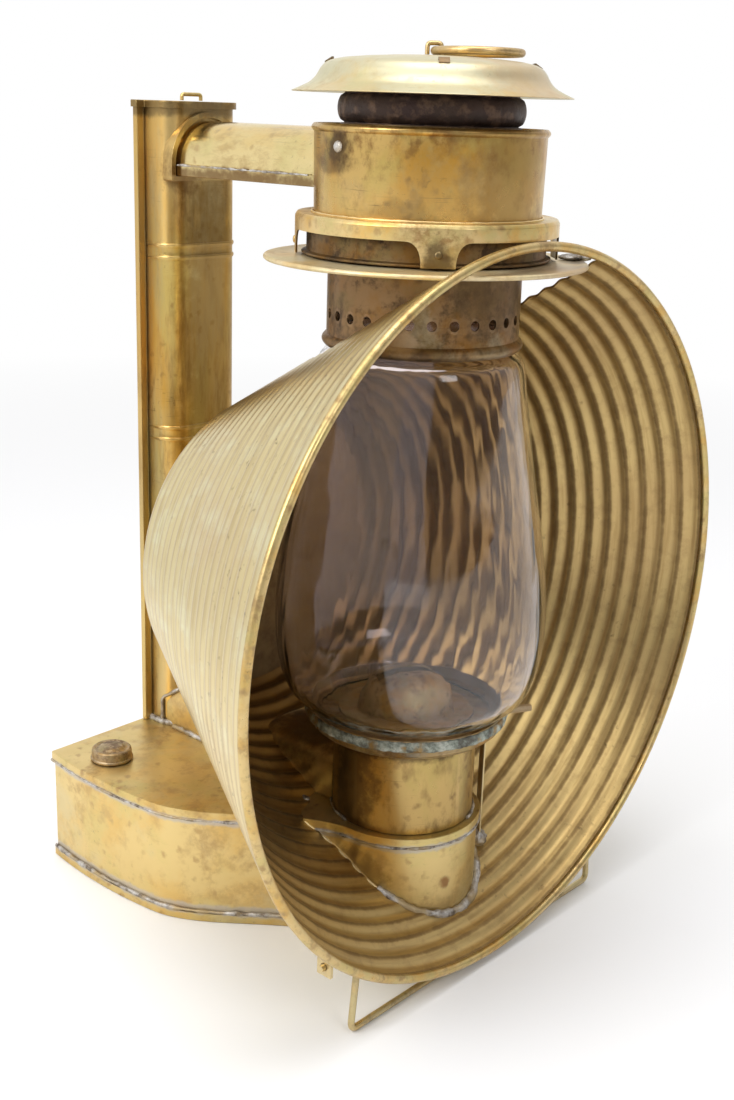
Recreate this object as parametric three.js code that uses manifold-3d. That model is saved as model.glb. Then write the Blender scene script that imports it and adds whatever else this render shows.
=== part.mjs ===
// A lantern of sheet brass for wall and table: tank, column, air ducts, burner, globe and ribbed reflector.
// Millimetres, Z up. The Z axis is the burner's axis, Z = 0 is the tank's foot, and the lantern faces -Y.
import * as THREE from 'three';
import { mergeVertices } from 'three/addons/utils/BufferGeometryUtils.js';
import Module from 'manifold-3d';

const wasm = await Module();
wasm.setup();

// Sheet metal, clearances and the fineness of round forms
const sheet = 0.8;
const gap = 0.3;
const overrun = 4;
const wideSteps = 28;
const roundSteps = 24;
const smallSteps = 16;
const tinySteps = 8;

// Tank: flat back, swelling sides and a round tongue under the burner
const tank = { height: 54, back: 148, halfWidth: 79, bulge: 5, shoulderY: 78, tongueMargin: 2.5, lip: 4 };
const waistShares = { firstX: 0.96, firstY: 0.64, secondX: 1.13, secondY: 0.385 };
const filler = { sideInset: 14.5, backInset: 24.5, neck: 7.6, capRadius: 9.8, capHeight: 5.6, crown: 0.7 };
const gasket = { hole: 3.4, thickness: 1.4 };

// Globe: a blown pear of clear glass, as shares of its widest radius and of its height
const globe = { height: 165.5, wall: 2.4, widest: 57.5 };
const globeShares = [[0.68, 0], [0.73, 0.03], [0.89, 0.081], [0.965, 0.148], [1, 0.26], [0.965, 0.42],
  [0.86, 0.63], [0.77, 0.825], [0.72, 0.93], [0.64, 0.962], [0.635, 1]];
const [footShare, shoulderShare, lipShare] = [globeShares[1], globeShares[7], globeShares[9]];

// Burner, from the fuel collar up to the dome
const burner = { angle: -28, chamber: 31, height: 43, baseHeight: 4, cupDepth: 10, cup: 22 };
const fuelCollar = { wall: 1.2, height: 8 };
const globePlate = { clear: 0.5, rimWall: 1.1, collarWall: 1.7, collarHeight: 4.1 };
const dome = { radius: 20.8, height: 18.2, slotEndClear: 1.5, slotSideClear: 2 };
const domeShares = [[1, 0], [0.985, 0.19], [0.89, 0.51], [0.67, 0.81], [0.385, 0.96]];
const wick = { halfWidth: 12, halfThick: 1, floorClear: 12, proud: 3 };
const wickTube = { wall: 0.6, clear: 0.8, footClear: 0.5, domeHeight: 6.3 };
const spindle = { depth: 7, radius: 1.2, handle: 1.8, handleReach: 7, handleLength: 25, tailLength: 9.5 };
const sprocket = { radius: 3.6, root: 2.7, width: 2, offset: 6, teeth: 8 };

// Bonnet: bell over the globe, neck, lid and the ring that lifts them
const bell = { clear: 0.9, beadDepth: 1.8, beadWidth: 5, holeHeight: 13.3, hole: 2, holes: 28 };
const neck = { inset: 4.2, footHeight: 8.1, bulgeDepth: 2.7, bulgeWidth: 10.6, flangeWidth: 6.1 };
const draught = { halfWidth: 18.5, sillHeight: 0.6, windowHeight: 6, headHeight: 1.2 };
const tab = { width: 4, reach: 3.2 };
const lid = { overhang: 14.4, rimDrop: 7, height: 13.6 };
const lidShares = [[1, 0], [0.87, 0.2], [0.828, 0.33], [0.795, 0.6], [0.74, 0.79], [0.64, 0.875]];
const liftRing = { radius: 16.6, wire: 1.5, angle: -45 };
const staple = { wire: 0.9, foot: 1.4 };

// Air chamber, skirt and disc over the globe
const chamber = { reach: 11.5, headHeight: 2, beadDepth: 1, beadWidth: 3, plateDepth: 3.8, tilt: 0.5 };
const skirt = { reach: 6.7, height: 16.2, lipHeight: 5.8, drop: 0.9 };
const leg = { footHalf: 6.4, topHalf: 13.5 };
const disc = { reach: 12.3, height: 34.9, fall: 1.2, beadDepth: 1.1 };
const innerDrum = { inset: 4.6, footWidth: 1.9, footHeight: 1.4 };

// Column: a U of sheet closed by a hemmed back plate
const column = { halfWidth: 21, depth: 19.6, corner: 9, flange: 3.4, headHeight: 7, lip: 2.4 };
const bead = { depth: 0.9, width: 2.6, pitch: 5.4, upperHeight: 229.5, lowerHeight: 146.5 };
const columnStaple = { span: 11, height: 2.6, wire: 0.85, corner: 1.4 };

// Air ducts: a half-round one to the air chamber and a low square-shouldered one to the burner
const upperDuct = { inset: 3, floorHeight: 8.8, side: 4, lip: 3.4 };
const lowerDuct = { height: 19.6, corner: 9 };
const collar = { width: 2.4, depth: 2.2 };

// Reflector: a ribbed cone with a wired rim and a closed small end, cut away for bell and tank
const reflector = { rim: 148, small: 68, frontReach: 55, back: 94, clearance: 2.8, ribDepth: 1.1 };
const reflectorCounts = { ribs: 20, steps: 28 };
const rimWire = { radius: 2.2, steps: 36, sides: 6 };
const strap = { offset: 6.6, width: 5 };

// Wire foot under the reflector and its two lugs
const foot = { wire: 1.4, setback: 8, hang: 8, topInset: 4.5, tip: 2.7, corner: 3.4 };
const footKnee = { inset: 18, drop: 12 };
const footBarInset = 15.5;
const footSteps = 60;
const footSideShare = 0.6731;
const lug = { thickness: 1.4, width: 7, boreWall: 2.2 };

// Radii and levels that follow, each from the piece that it fits or stands on
const tongueRadius = burner.chamber + tank.tongueMargin;
const plateLevel = tank.height + burner.height;
const globeFoot = plateLevel + sheet + gap;
const plateInside = globe.widest * footShare[0] + globePlate.clear;
const plateTop = globeFoot + globe.height * footShare[1];
const tubeWidth = wick.halfWidth + wickTube.clear + wickTube.wall + gap;
const deckLevel = plateLevel + sheet + sheet;
const domeBottom = deckLevel + sheet + gap;
const tubeTop = domeBottom + wickTube.domeHeight;
const spindleLevel = plateLevel - spindle.depth;
const bellInside = globe.widest * lipShare[0] + bell.clear;
const bellRadius = bellInside + sheet;
const bellBottom = globeFoot + globe.height * lipShare[1];
const neckRadius = bellInside - neck.inset;
const neckFlange = neckRadius + neck.flangeWidth;
const chamberRadius = neckRadius + chamber.reach;
const skirtRadius = chamberRadius + skirt.reach;
const discRadius = skirtRadius + disc.reach;
const discLevel = bellBottom + disc.height;
const neckBottom = discLevel + neck.footHeight;
const skirtLevel = discLevel + skirt.height;
const drumBottom = skirtLevel + sheet;
const ductHalf = column.halfWidth - upperDuct.inset;
const ductFloor = drumBottom + upperDuct.floorHeight;
const ductTop = ductFloor + upperDuct.side + ductHalf;
const drumTop = ductTop + chamber.headHeight;
const columnTop = ductTop + column.headHeight;
const bulgeBottom = drumTop + gap + gap;
const bulgeTop = bulgeBottom + neck.bulgeWidth;
const neckTop = bulgeTop + draught.sillHeight + draught.windowHeight + draught.headHeight;
const lidRim = neckFlange + lid.overhang;
const lidLevel = neckTop - lid.rimDrop;
const lidCrown = lidLevel + lid.height;
const coneStart = -reflector.frontReach + rimWire.radius + gap;
const coneAxis = reflector.clearance + rimWire.radius + reflector.rim;

// Finishes
const brass = new THREE.MeshStandardMaterial({ color: 0xb08a4a, roughness: 0.35, metalness: 1 });
const paleBrass = new THREE.MeshStandardMaterial({ color: 0xc2a868, roughness: 0.38, metalness: 1 });
const brownBrass = new THREE.MeshStandardMaterial({ color: 0x7d5e33, roughness: 0.45, metalness: 1 });
const smokedIron = new THREE.MeshStandardMaterial({ color: 0x3b332d, roughness: 0.75, metalness: 0.6 });
const verdigris = new THREE.MeshStandardMaterial({ color: 0x7c8a78, roughness: 0.85, metalness: 0.3 });
const clear = { transparent: true, opacity: 0.3 };
const glass = new THREE.MeshStandardMaterial({ color: 0xe6dfe6, roughness: 0.03, ...clear });
const cotton = new THREE.MeshStandardMaterial({ color: 0xd9cfb4, roughness: 0.95, metalness: 0 });
const leather = new THREE.MeshStandardMaterial({ color: 0x6a4a30, roughness: 0.8, metalness: 0 });

const lantern = new THREE.Group();
const burnerGroup = new THREE.Group();
burnerGroup.rotation.z = THREE.MathUtils.degToRad(burner.angle);
lantern.add(burnerGroup);
const ringGroup = new THREE.Group();
ringGroup.rotation.z = THREE.MathUtils.degToRad(liftRing.angle);
lantern.add(ringGroup);

// Adds one named piece to a group
function addPiece(name, shape, material, group = lantern) {
  const mesh = new THREE.Mesh(shape, material);
  mesh.name = name;
  group.add(mesh);
}

// Merges shared points, drops triangles without area and turns the faces outwards
function closed(source) {
  const bare = source.clone();
  bare.deleteAttribute('normal');
  bare.deleteAttribute('uv');
  bare.clearGroups();
  const merged = mergeVertices(bare);
  const at = merged.attributes.position;
  const corners = merged.index.array;
  const kept = [];
  let volume = 0;
  const a = new THREE.Vector3();
  const b = new THREE.Vector3();
  const c = new THREE.Vector3();
  for (let i = 0; i < corners.length; i += 3) {
    const [p, q, r] = [corners[i], corners[i + 1], corners[i + 2]];
    if (p === q || q === r || r === p) continue;
    a.fromBufferAttribute(at, p);
    b.fromBufferAttribute(at, q);
    c.fromBufferAttribute(at, r);
    volume += a.dot(b.cross(c));
    kept.push(p, q, r);
  }
  if (volume < 0) kept.reverse();
  merged.setIndex(kept);
  return merged;
}

function toSolid(shape) {
  const body = closed(shape);
  const vertProperties = new Float32Array(body.attributes.position.array);
  const triVerts = new Uint32Array(body.index.array);
  return new wasm.Manifold(new wasm.Mesh({ numProp: 3, vertProperties, triVerts }));
}

function toShape(solid) {
  const mesh = solid.getMesh();
  const shape = new THREE.BufferGeometry();
  const places = new Float32Array(mesh.vertProperties);
  shape.setAttribute('position', new THREE.BufferAttribute(places, mesh.numProp));
  shape.setIndex(Array.from(mesh.triVerts));
  return shape;
}

function cut(shape, ...cutters) {
  return toShape(cutters.reduce((solid, cutter) => solid.subtract(toSolid(cutter)), toSolid(shape)));
}

function join(shape, ...others) {
  return toShape(others.reduce((solid, other) => solid.add(toSolid(other)), toSolid(shape)));
}

// Turns an outline of [radius, height] points about the Z axis
function revolve(outline, steps) {
  const ring = [...outline, outline[0]].map(([r, z]) => new THREE.Vector2(r, z));
  const shape = new THREE.LatheGeometry(ring, steps);
  return closed(shape.rotateX(Math.PI / 2));
}

// Turns an outline that starts and ends on the Z axis
function revolveSolid(outline, steps) {
  const shape = new THREE.LatheGeometry(outline.map(([r, z]) => new THREE.Vector2(r, z)), steps);
  return closed(shape.rotateX(Math.PI / 2));
}

function pipe(inner, outer, bottom, top, steps) {
  return revolve([[inner, bottom], [outer, bottom], [outer, top], [inner, top]], steps);
}

function rod(radius, bottom, top, steps) {
  const shape = new THREE.CylinderGeometry(radius, radius, top - bottom, steps);
  return shape.rotateX(Math.PI / 2).translate(0, 0, (top + bottom) / 2);
}

function box(low, high) {
  const size = high.map((value, i) => value - low[i]);
  const shape = new THREE.BoxGeometry(...size);
  return shape.translate(...size.map((value, i) => low[i] + value / 2));
}

// Extrudes a closed list of points upwards, with holes if there are any
function prism(points, bottom, top, holes = []) {
  const shape = new THREE.Shape(points);
  shape.holes = holes.map((hole) => new THREE.Path(hole));
  const depth = top - bottom;
  return closed(new THREE.ExtrudeGeometry(shape, { depth, bevelEnabled: false }).translate(0, 0, bottom));
}

// Extrudes a section drawn in X and Z along Y, from front to back
function duct(points, front, back) {
  const depth = back - front;
  const shape = new THREE.ExtrudeGeometry(new THREE.Shape(points), { depth, bevelEnabled: false });
  return closed(shape.rotateX(Math.PI / 2).translate(0, back, 0));
}

// Moves a closed anticlockwise outline outwards by a distance
function offset(points, distance) {
  return points.map((point, i) => {
    const before = points[(i + points.length - 1) % points.length];
    const after = points[(i + 1) % points.length];
    const first = point.clone().sub(before).normalize();
    const second = after.clone().sub(point).normalize();
    const normal = new THREE.Vector2(first.y + second.y, -first.x - second.x).normalize();
    const miter = Math.max(normal.x * first.y - normal.y * first.x, 1 / 2);
    return point.clone().addScaledVector(normal, distance / miter);
  });
}

function mirrored(points) {
  return points.map((point) => new THREE.Vector2(-point.x, point.y)).reverse();
}

function arcPoints(x, y, radius, from, to, steps) {
  const points = [];
  for (let i = 0; i <= steps; i += 1) {
    const angle = from + (to - from) * i / steps;
    points.push(new THREE.Vector2(x + radius * Math.cos(angle), y + radius * Math.sin(angle)));
  }
  return points;
}

// Bends a round wire through points, with rounded corners
function bentWire(points, corner, radius, steps, sides) {
  const path = new THREE.CurvePath();
  const places = points.map((point) => new THREE.Vector3(...point));
  let from = places[0];
  for (let i = 1; i < places.length - 1; i += 1) {
    const into = places[i].clone().sub(places[i - 1]).normalize();
    const out = places[i + 1].clone().sub(places[i]).normalize();
    const start = places[i].clone().addScaledVector(into, -corner);
    const end = places[i].clone().addScaledVector(out, corner);
    path.add(new THREE.LineCurve3(from, start));
    path.add(new THREE.QuadraticBezierCurve3(start, places[i], end));
    from = end;
  }
  path.add(new THREE.LineCurve3(from, places[places.length - 1]));
  const section = new THREE.Shape(arcPoints(0, 0, radius, 0, 2 * Math.PI, sides).slice(1));
  return closed(new THREE.ExtrudeGeometry(section, { steps, extrudePath: path, bevelEnabled: false }));
}

// Stacks closed sections of equal point counts into one body
function loft(sections) {
  const count = sections[0].length;
  const vertices = sections.flat().flatMap((point) => [point.x, point.y, point.z]);
  const index = [];
  for (let level = 0; level < sections.length - 1; level += 1) {
    for (let i = 0; i < count; i += 1) {
      const next = (i + 1) % count;
      const [a, b] = [level * count + i, level * count + next];
      index.push(a, b, b + count, a, b + count, a + count);
    }
  }
  const flat = sections[0].map((point) => new THREE.Vector2(point.x, point.y));
  const last = (sections.length - 1) * count;
  for (const [a, b, c] of THREE.ShapeUtils.triangulateShape(flat, [])) {
    index.push(c, b, a);
    index.push(last + a, last + b, last + c);
  }
  const shape = new THREE.BufferGeometry();
  shape.setAttribute('position', new THREE.Float32BufferAttribute(vertices, 3));
  shape.setIndex(index);
  return closed(shape);
}

// Plan of the tank, anticlockwise from the left end of its back
function tankOutline() {
  const { back, halfWidth, bulge, shoulderY } = tank;
  const side = new THREE.Path();
  side.moveTo(-halfWidth, back);
  side.quadraticCurveTo(-halfWidth - bulge, (back + shoulderY) / 2, -halfWidth, shoulderY);
  side.bezierCurveTo(-halfWidth * waistShares.firstX, shoulderY * waistShares.firstY,
    -tongueRadius * waistShares.secondX, shoulderY * waistShares.secondY, -tongueRadius, 0);
  const left = side.getPoints(6);
  const round = arcPoints(0, 0, tongueRadius, Math.PI, 2 * Math.PI, roundSteps / 2);
  return [...left, ...round.slice(1, -1), ...mirrored(left)];
}

const outline = tankOutline();
const lipInside = offset(outline, gap);
const lipOutside = offset(outline, gap + sheet);
const backFace = tank.back + gap + sheet;
const topFace = tank.height;
const fillerX = filler.sideInset - tank.halfWidth;
const fillerY = tank.back - filler.backInset;

function makeTank() {
  const inside = offset(outline, -sheet);
  addPiece('tank_wall', prism(outline, sheet + gap, topFace - sheet - gap, [inside]), brass);
  const bottomPlate = join(prism(lipOutside, 0, sheet), prism(lipOutside, 0, tank.lip, [lipInside]));
  addPiece('tank_bottom', bottomPlate, brass);
  const topPlate = join(prism(lipOutside, topFace - sheet, topFace),
    prism(lipOutside, topFace - tank.lip, topFace, [lipInside]));
  const fillerHole = rod(filler.neck - sheet, 0, topFace + overrun, smallSteps);
  fillerHole.translate(fillerX, fillerY, 0);
  const wickHole = rod(tubeWidth, 0, topFace + overrun, smallSteps);
  addPiece('tank_top', cut(topPlate, fillerHole, wickHole), brass);
}

function makeFiller() {
  const { neck: r, capRadius, capHeight, crown } = filler;
  const bottom = topFace + gap;
  const capTop = bottom + capHeight;
  const inside = r + gap;
  const gasketTop = capTop - sheet - gap;
  const gasketBottom = gasketTop - gasket.thickness;
  const place = (shape) => shape.translate(fillerX, fillerY, 0);
  addPiece('filler_neck', place(pipe(r - sheet, r, bottom, gasketBottom - gap, smallSteps)), brass);
  addPiece('filler_gasket', place(pipe(gasket.hole, r, gasketBottom, gasketTop, smallSteps)), leather);
  const cap = revolveSolid([[0, capTop - sheet], [inside, capTop - sheet], [inside, bottom + gap],
    [capRadius, bottom + gap], [capRadius, capTop - sheet], [capRadius - sheet, capTop],
    [capRadius / 2, capTop + crown], [0, capTop + crown]], smallSteps);
  addPiece('filler_cap', place(cap), brownBrass);
}

// Half of the column's path in plan, seen from above, with the sheet inset from its outer face
const columnFront = backFace - column.depth;
const flangeFace = backFace - sheet - gap - sheet;
function columnPath(inset, push) {
  const half = column.halfWidth - inset + push;
  const radius = column.corner - inset + push;
  const centreX = column.halfWidth - column.corner;
  const corner = arcPoints(-centreX, columnFront + column.corner, radius, Math.PI, 3 * Math.PI / 2, 3);
  const left = [new THREE.Vector2(-column.halfWidth - column.flange, flangeFace + inset),
    new THREE.Vector2(-half, flangeFace + inset), ...corner];
  return [...left, ...mirrored(left)];
}

function columnSection(push, level) {
  const outer = columnPath(0, push);
  const inner = columnPath(sheet, push).reverse();
  return [...outer, ...inner].map((point) => new THREE.Vector3(point.x, point.y, level));
}

// The filled space of the column, grown by a clearance, that neighbours are cut back to
function columnSpace(clearance) {
  const edge = column.halfWidth + column.flange;
  const back = backFace + overrun;
  const plan = [...columnPath(-clearance, 0), new THREE.Vector2(edge, back), new THREE.Vector2(-edge, back)];
  return prism(plan, 0, columnTop + overrun);
}

function archPoints(halfWidth, base, spring, radius) {
  const arch = arcPoints(0, spring, radius, 0, Math.PI, smallSteps / 2);
  return [new THREE.Vector2(-halfWidth, base), new THREE.Vector2(halfWidth, base), ...arch];
}

function upperArch(grow, base = ductFloor) {
  const half = ductHalf + grow;
  return archPoints(half, base, ductFloor + upperDuct.side, half);
}

function lowerArch(grow, base = topFace) {
  const half = column.halfWidth + grow;
  const centreX = column.halfWidth - lowerDuct.corner;
  const centreZ = topFace + lowerDuct.height - lowerDuct.corner;
  const radius = lowerDuct.corner + grow;
  return [new THREE.Vector2(-half, base), new THREE.Vector2(half, base),
    ...arcPoints(centreX, centreZ, radius, 0, Math.PI / 2, 4),
    ...arcPoints(-centreX, centreZ, radius, Math.PI / 2, Math.PI, 4)];
}

function makeColumn() {
  const bottom = topFace + gap;
  const levels = [[bottom, 0]];
  for (const level of [topFace + bead.lowerHeight, topFace + bead.upperHeight]) {
    for (const middle of [level - bead.pitch / 2, level + bead.pitch / 2]) {
      levels.push([middle - bead.width / 2, 0], [middle, bead.depth], [middle + bead.width / 2, 0]);
    }
  }
  levels.push([columnTop, 0]);
  const body = loft(levels.map(([level, push]) => columnSection(push, level)));
  const airIn = duct(upperArch(-gap - sheet), columnFront - overrun, columnFront + column.corner);
  const airOut = duct(lowerArch(-gap - sheet), columnFront - overrun, columnFront + column.corner);
  addPiece('column_body', cut(body, airIn, airOut), brass);

  const edge = column.halfWidth + column.flange + gap;
  const hem = flangeFace - gap;
  const lap = column.halfWidth + gap + sheet;
  const half = [new THREE.Vector2(-edge - sheet, backFace), new THREE.Vector2(-edge - sheet, hem - sheet),
    new THREE.Vector2(-lap, hem - sheet), new THREE.Vector2(-lap, hem), new THREE.Vector2(-edge, hem),
    new THREE.Vector2(-edge, backFace - sheet)];
  addPiece('column_back_plate', prism([...half, ...mirrored(half)], bottom, columnTop), brass);

  const lidSide = column.halfWidth;
  const corner = arcPoints(-lidSide + column.corner, columnFront + column.corner, column.corner,
    Math.PI, 3 * Math.PI / 2, 3);
  const left = [new THREE.Vector2(-edge - sheet, backFace), new THREE.Vector2(-edge - sheet, hem - sheet),
    new THREE.Vector2(-lidSide, hem - sheet), ...corner];
  const lidPlan = [...left, ...mirrored(left)];
  const lidBottom = columnTop + gap;
  const lidOuter = offset(lidPlan, gap + sheet);
  const capped = join(prism(lidOuter, lidBottom, lidBottom + sheet),
    prism(lidOuter, lidBottom - column.lip, lidBottom + sheet, [offset(lidPlan, gap)]));
  const behind = box([-2 * edge, backFace, 0], [2 * edge, backFace + overrun, 2 * columnTop]);
  addPiece('column_lid', cut(capped, behind), brass);

  const { span, height, wire, corner: bend } = columnStaple;
  const seat = lidBottom + sheet + gap;
  const middle = (columnFront + backFace) / 2;
  const ends = [[-span / 2, middle, seat], [-span / 2, middle, seat + height],
    [span / 2, middle, seat + height], [span / 2, middle, seat]];
  addPiece('column_staple', bentWire(ends, bend, wire, smallSteps, 6), brass);
}

function makeUpperDuct() {
  const front = 0;
  const back = columnFront + column.corner;
  const clear = rod(chamberRadius + gap, 0, columnTop, wideSteps);
  const arch = upperArch(0);
  const inner = upperArch(-sheet, ductFloor - overrun);
  const shell = cut(duct(arch, front, back), duct(inner, front - overrun, back + overrun));
  const beadFoot = drumTop - chamber.beadWidth - gap;
  const beadSpace = rod(chamberRadius + chamber.beadDepth + gap, beadFoot, columnTop, wideSteps);
  addPiece('upper_duct', cut(shell, clear, beadSpace, columnSpace(gap)), paleBrass);

  const half = ductHalf + gap;
  const top = ductFloor - gap;
  const lip = ductFloor + upperDuct.lip;
  const tray = [[-half - sheet, top - sheet], [half + sheet, top - sheet], [half + sheet, lip], [half, lip],
    [half, top], [-half, top], [-half, lip], [-half - sheet, lip]].map(([x, z]) => new THREE.Vector2(x, z));
  addPiece('upper_duct_floor', cut(duct(tray, front, back), clear, columnSpace(gap)), paleBrass);

  const outside = upperArch(gap + sheet + gap + collar.width, top - sheet - collar.width);
  const inside = upperArch(gap + sheet + gap, top - sheet - gap);
  const ring = cut(duct(outside, columnFront - collar.depth, back), duct(inside, front, back + overrun));
  addPiece('upper_duct_collar', cut(ring, columnSpace(gap)), brownBrass);
}

function makeLowerDuct() {
  const bottom = topFace + gap;
  const clear = rod(burner.chamber + gap, 0, drumBottom, wideSteps);
  const back = columnFront + column.corner;
  const inner = duct(lowerArch(-sheet, bottom - overrun), -overrun, back + overrun);
  const shell = cut(duct(lowerArch(0, bottom), 0, back), inner);
  addPiece('lower_duct', cut(shell, clear, columnSpace(gap)), brass);
}

function makeChamber() {
  const { beadDepth, beadWidth, plateDepth, tilt } = chamber;
  const radius = chamberRadius;
  const inner = radius - sheet;
  const drum = revolve([[inner - tilt, drumBottom], [radius - tilt, drumBottom],
    [radius, drumTop - beadWidth], [radius + beadDepth, drumTop - beadWidth / 2], [radius, drumTop],
    [inner, drumTop]], wideSteps);
  addPiece('chamber_drum', cut(drum, duct(upperArch(-gap - sheet), radius / 2, radius + overrun)), brass);

  const hole = neckRadius + gap + gap;
  const plate = drumTop - plateDepth;
  const rest = drumTop + gap;
  addPiece('chamber_top', revolve([[hole, plate], [inner - gap, plate], [inner - gap, plate + sheet],
    [hole + sheet, plate + sheet], [hole + sheet, rest], [hole, rest]], wideSteps), brownBrass);
}

// The skirt's lip runs down to the disc and is cut away between four legs
function makeSkirt() {
  const { lipHeight, drop } = skirt;
  const [radius, flange, lip] = [skirtRadius, skirtLevel, skirtLevel - lipHeight];
  const inner = chamberRadius - sheet / 2;
  const foot = discLevel + sheet + gap;
  const flat = flange + sheet - gap;
  const ring = revolve([[inner, flange], [inner, flat], [radius - sheet, flat], [radius, flange - drop],
    [radius, foot], [radius - sheet, foot], [radius - sheet, flange - drop]], wideSteps);
  const half = (radius - sheet / 2) * Math.SQRT1_2;
  const window = new THREE.Shape();
  window.moveTo(-half + leg.footHalf * Math.SQRT1_2, foot - overrun);
  window.lineTo(-half + leg.footHalf * Math.SQRT1_2, foot);
  window.quadraticCurveTo(-half + leg.footHalf * Math.SQRT1_2, lip, -half + leg.topHalf * Math.SQRT1_2, lip);
  window.lineTo(half - leg.topHalf * Math.SQRT1_2, lip);
  window.quadraticCurveTo(half - leg.footHalf * Math.SQRT1_2, lip, half - leg.footHalf * Math.SQRT1_2, foot);
  window.lineTo(half - leg.footHalf * Math.SQRT1_2, foot - overrun);
  const reach = radius + overrun;
  const across = duct(window.getPoints(5), -reach, reach);
  const along = across.clone().rotateZ(Math.PI / 2);
  addPiece('skirt', cut(ring, across, along), brass);
}

function makeDisc() {
  const { fall, beadDepth: roll } = disc;
  const hole = bellRadius + gap;
  const edge = discLevel - fall;
  const [out, half] = [discRadius - roll, discRadius - roll / 2];
  const plate = revolve([[hole, discLevel], [out, edge], [half, edge - roll / 2],
    [discRadius, edge + sheet / 2], [half, edge + sheet + roll / 2], [out, edge + sheet],
    [hole, discLevel + sheet]], wideSteps);
  addPiece('disc', plate, paleBrass);
  const bottom = discLevel + sheet + gap;
  const r = skirtRadius - innerDrum.inset;
  const top = skirtLevel - skirt.drop - gap;
  const ring = r + innerDrum.footWidth;
  addPiece('inner_drum', revolve([[r - sheet, bottom], [ring, bottom], [ring, bottom + sheet],
    [r, bottom + innerDrum.footHeight], [r, top], [r - sheet, top]], wideSteps), brownBrass);
}

function makeBonnet() {
  const [r, inner, bulge] = [neckRadius, neckRadius - sheet, neckRadius + neck.bulgeDepth];
  const middle = (bulgeBottom + bulgeTop) / 2;
  const shoulder = neck.bulgeWidth / 4;
  const tube = revolve([[inner, neckBottom], [r, neckBottom], [r, bulgeBottom], [bulge, middle - shoulder],
    [bulge, middle + shoulder], [r, bulgeTop], [r, neckTop - sheet], [neckFlange, neckTop - sheet],
    [neckFlange, neckTop], [inner, neckTop], [inner, bulgeTop], [bulge - sheet, middle + shoulder],
    [bulge - sheet, middle - shoulder], [inner, bulgeBottom]], roundSteps);
  const sill = bulgeTop + draught.sillHeight;
  const head = sill + draught.windowHeight;
  const reach = neckFlange + overrun;
  const slot = box([-draught.halfWidth, -reach, sill], [draught.halfWidth, reach, head]);
  const open = cut(tube, slot, slot.clone().rotateZ(Math.PI / 2));

  const shell = lidShares.map(([r1, z1]) => [lidRim * r1, lidLevel + lid.height * z1]);
  const under = shell.map(([r1, z1]) => [Math.max(r1 - sheet / 2, 0), z1 - sheet]).reverse();
  const cover = revolveSolid([[0, lidCrown - sheet], ...under, ...shell, [0, lidCrown]], roundSteps);

  // Each tab rises from the neck's flange through a slot in the lid and is bent over outside
  const tabs = [];
  const slots = [];
  const tabFoot = neckTop - sheet / 2;
  const tabX = neckFlange - sheet;
  const tabTop = lidLevel + lid.height * lidShares[5][1] + gap + sheet;
  for (let i = 0; i < 4; i += 1) {
    const angle = Math.PI / 4 + i * Math.PI / 2;
    const halfTab = tab.width / 2;
    const upright = box([tabX - sheet, -halfTab, tabFoot], [tabX, halfTab, tabTop]);
    const bent = box([tabX - sheet, -halfTab, tabTop - sheet], [tabX + tab.reach, halfTab, tabTop]);
    tabs.push(upright.rotateZ(angle), bent.rotateZ(angle));
    const slit = box([tabX - sheet - gap, -halfTab - gap, neckTop], [tabX + gap, halfTab + gap, lidCrown]);
    slots.push(slit.rotateZ(angle));
  }
  addPiece('neck', join(open, ...tabs), smokedIron);
  addPiece('lid', cut(cover, ...slots), paleBrass);
}

function makeBell() {
  const { beadDepth, beadWidth, holeHeight, hole, holes } = bell;
  const roll = bellRadius + beadDepth;
  const top = neckBottom + sheet + sheet;
  const mouth = neckRadius + gap;
  const wall = revolve([[bellInside, bellBottom], [bellRadius, bellBottom],
    [roll, bellBottom + beadWidth / 4], [roll, bellBottom + 3 * beadWidth / 4],
    [bellRadius, bellBottom + beadWidth], [bellRadius, top], [mouth, top], [mouth, top - sheet],
    [bellInside, top - sheet]], holes);
  const drills = [];
  for (let i = 0; i < holes / 2; i += 1) {
    const drill = new THREE.CylinderGeometry(hole, hole, 2 * bellRadius + overrun, 6);
    drill.rotateZ(Math.PI / 2).rotateZ(Math.PI * (i + 1 / 2) / (holes / 2));
    drills.push(drill.translate(0, 0, bellBottom + holeHeight));
  }
  addPiece('globe_bell', cut(wall, ...drills), brownBrass);
}

function makeLiftRing() {
  const level = lidCrown + gap + liftRing.wire;
  const hoop = new THREE.TorusGeometry(liftRing.radius, liftRing.wire, 6, 24);
  addPiece('lift_ring', closed(hoop.translate(liftRing.radius, 0, level)), paleBrass, ringGroup);
  const inside = liftRing.wire + gap;
  const leg = inside + staple.wire;
  const seat = lidCrown + gap;
  const crest = level + leg;
  const ends = [[-leg, 0, seat], [-leg, 0, crest], [leg, 0, crest], [leg, 0, seat]];
  addPiece('ring_staple', bentWire(ends, staple.foot, staple.wire, smallSteps, 6), paleBrass, ringGroup);
}

function makeGlobe() {
  const outer = globeShares.map(([r, z]) => [globe.widest * r, globeFoot + globe.height * z]);
  const inner = outer.map(([r, z]) => [r - globe.wall, z]).reverse();
  addPiece('globe', revolve([...outer, ...inner], roundSteps), glass);
}

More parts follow.
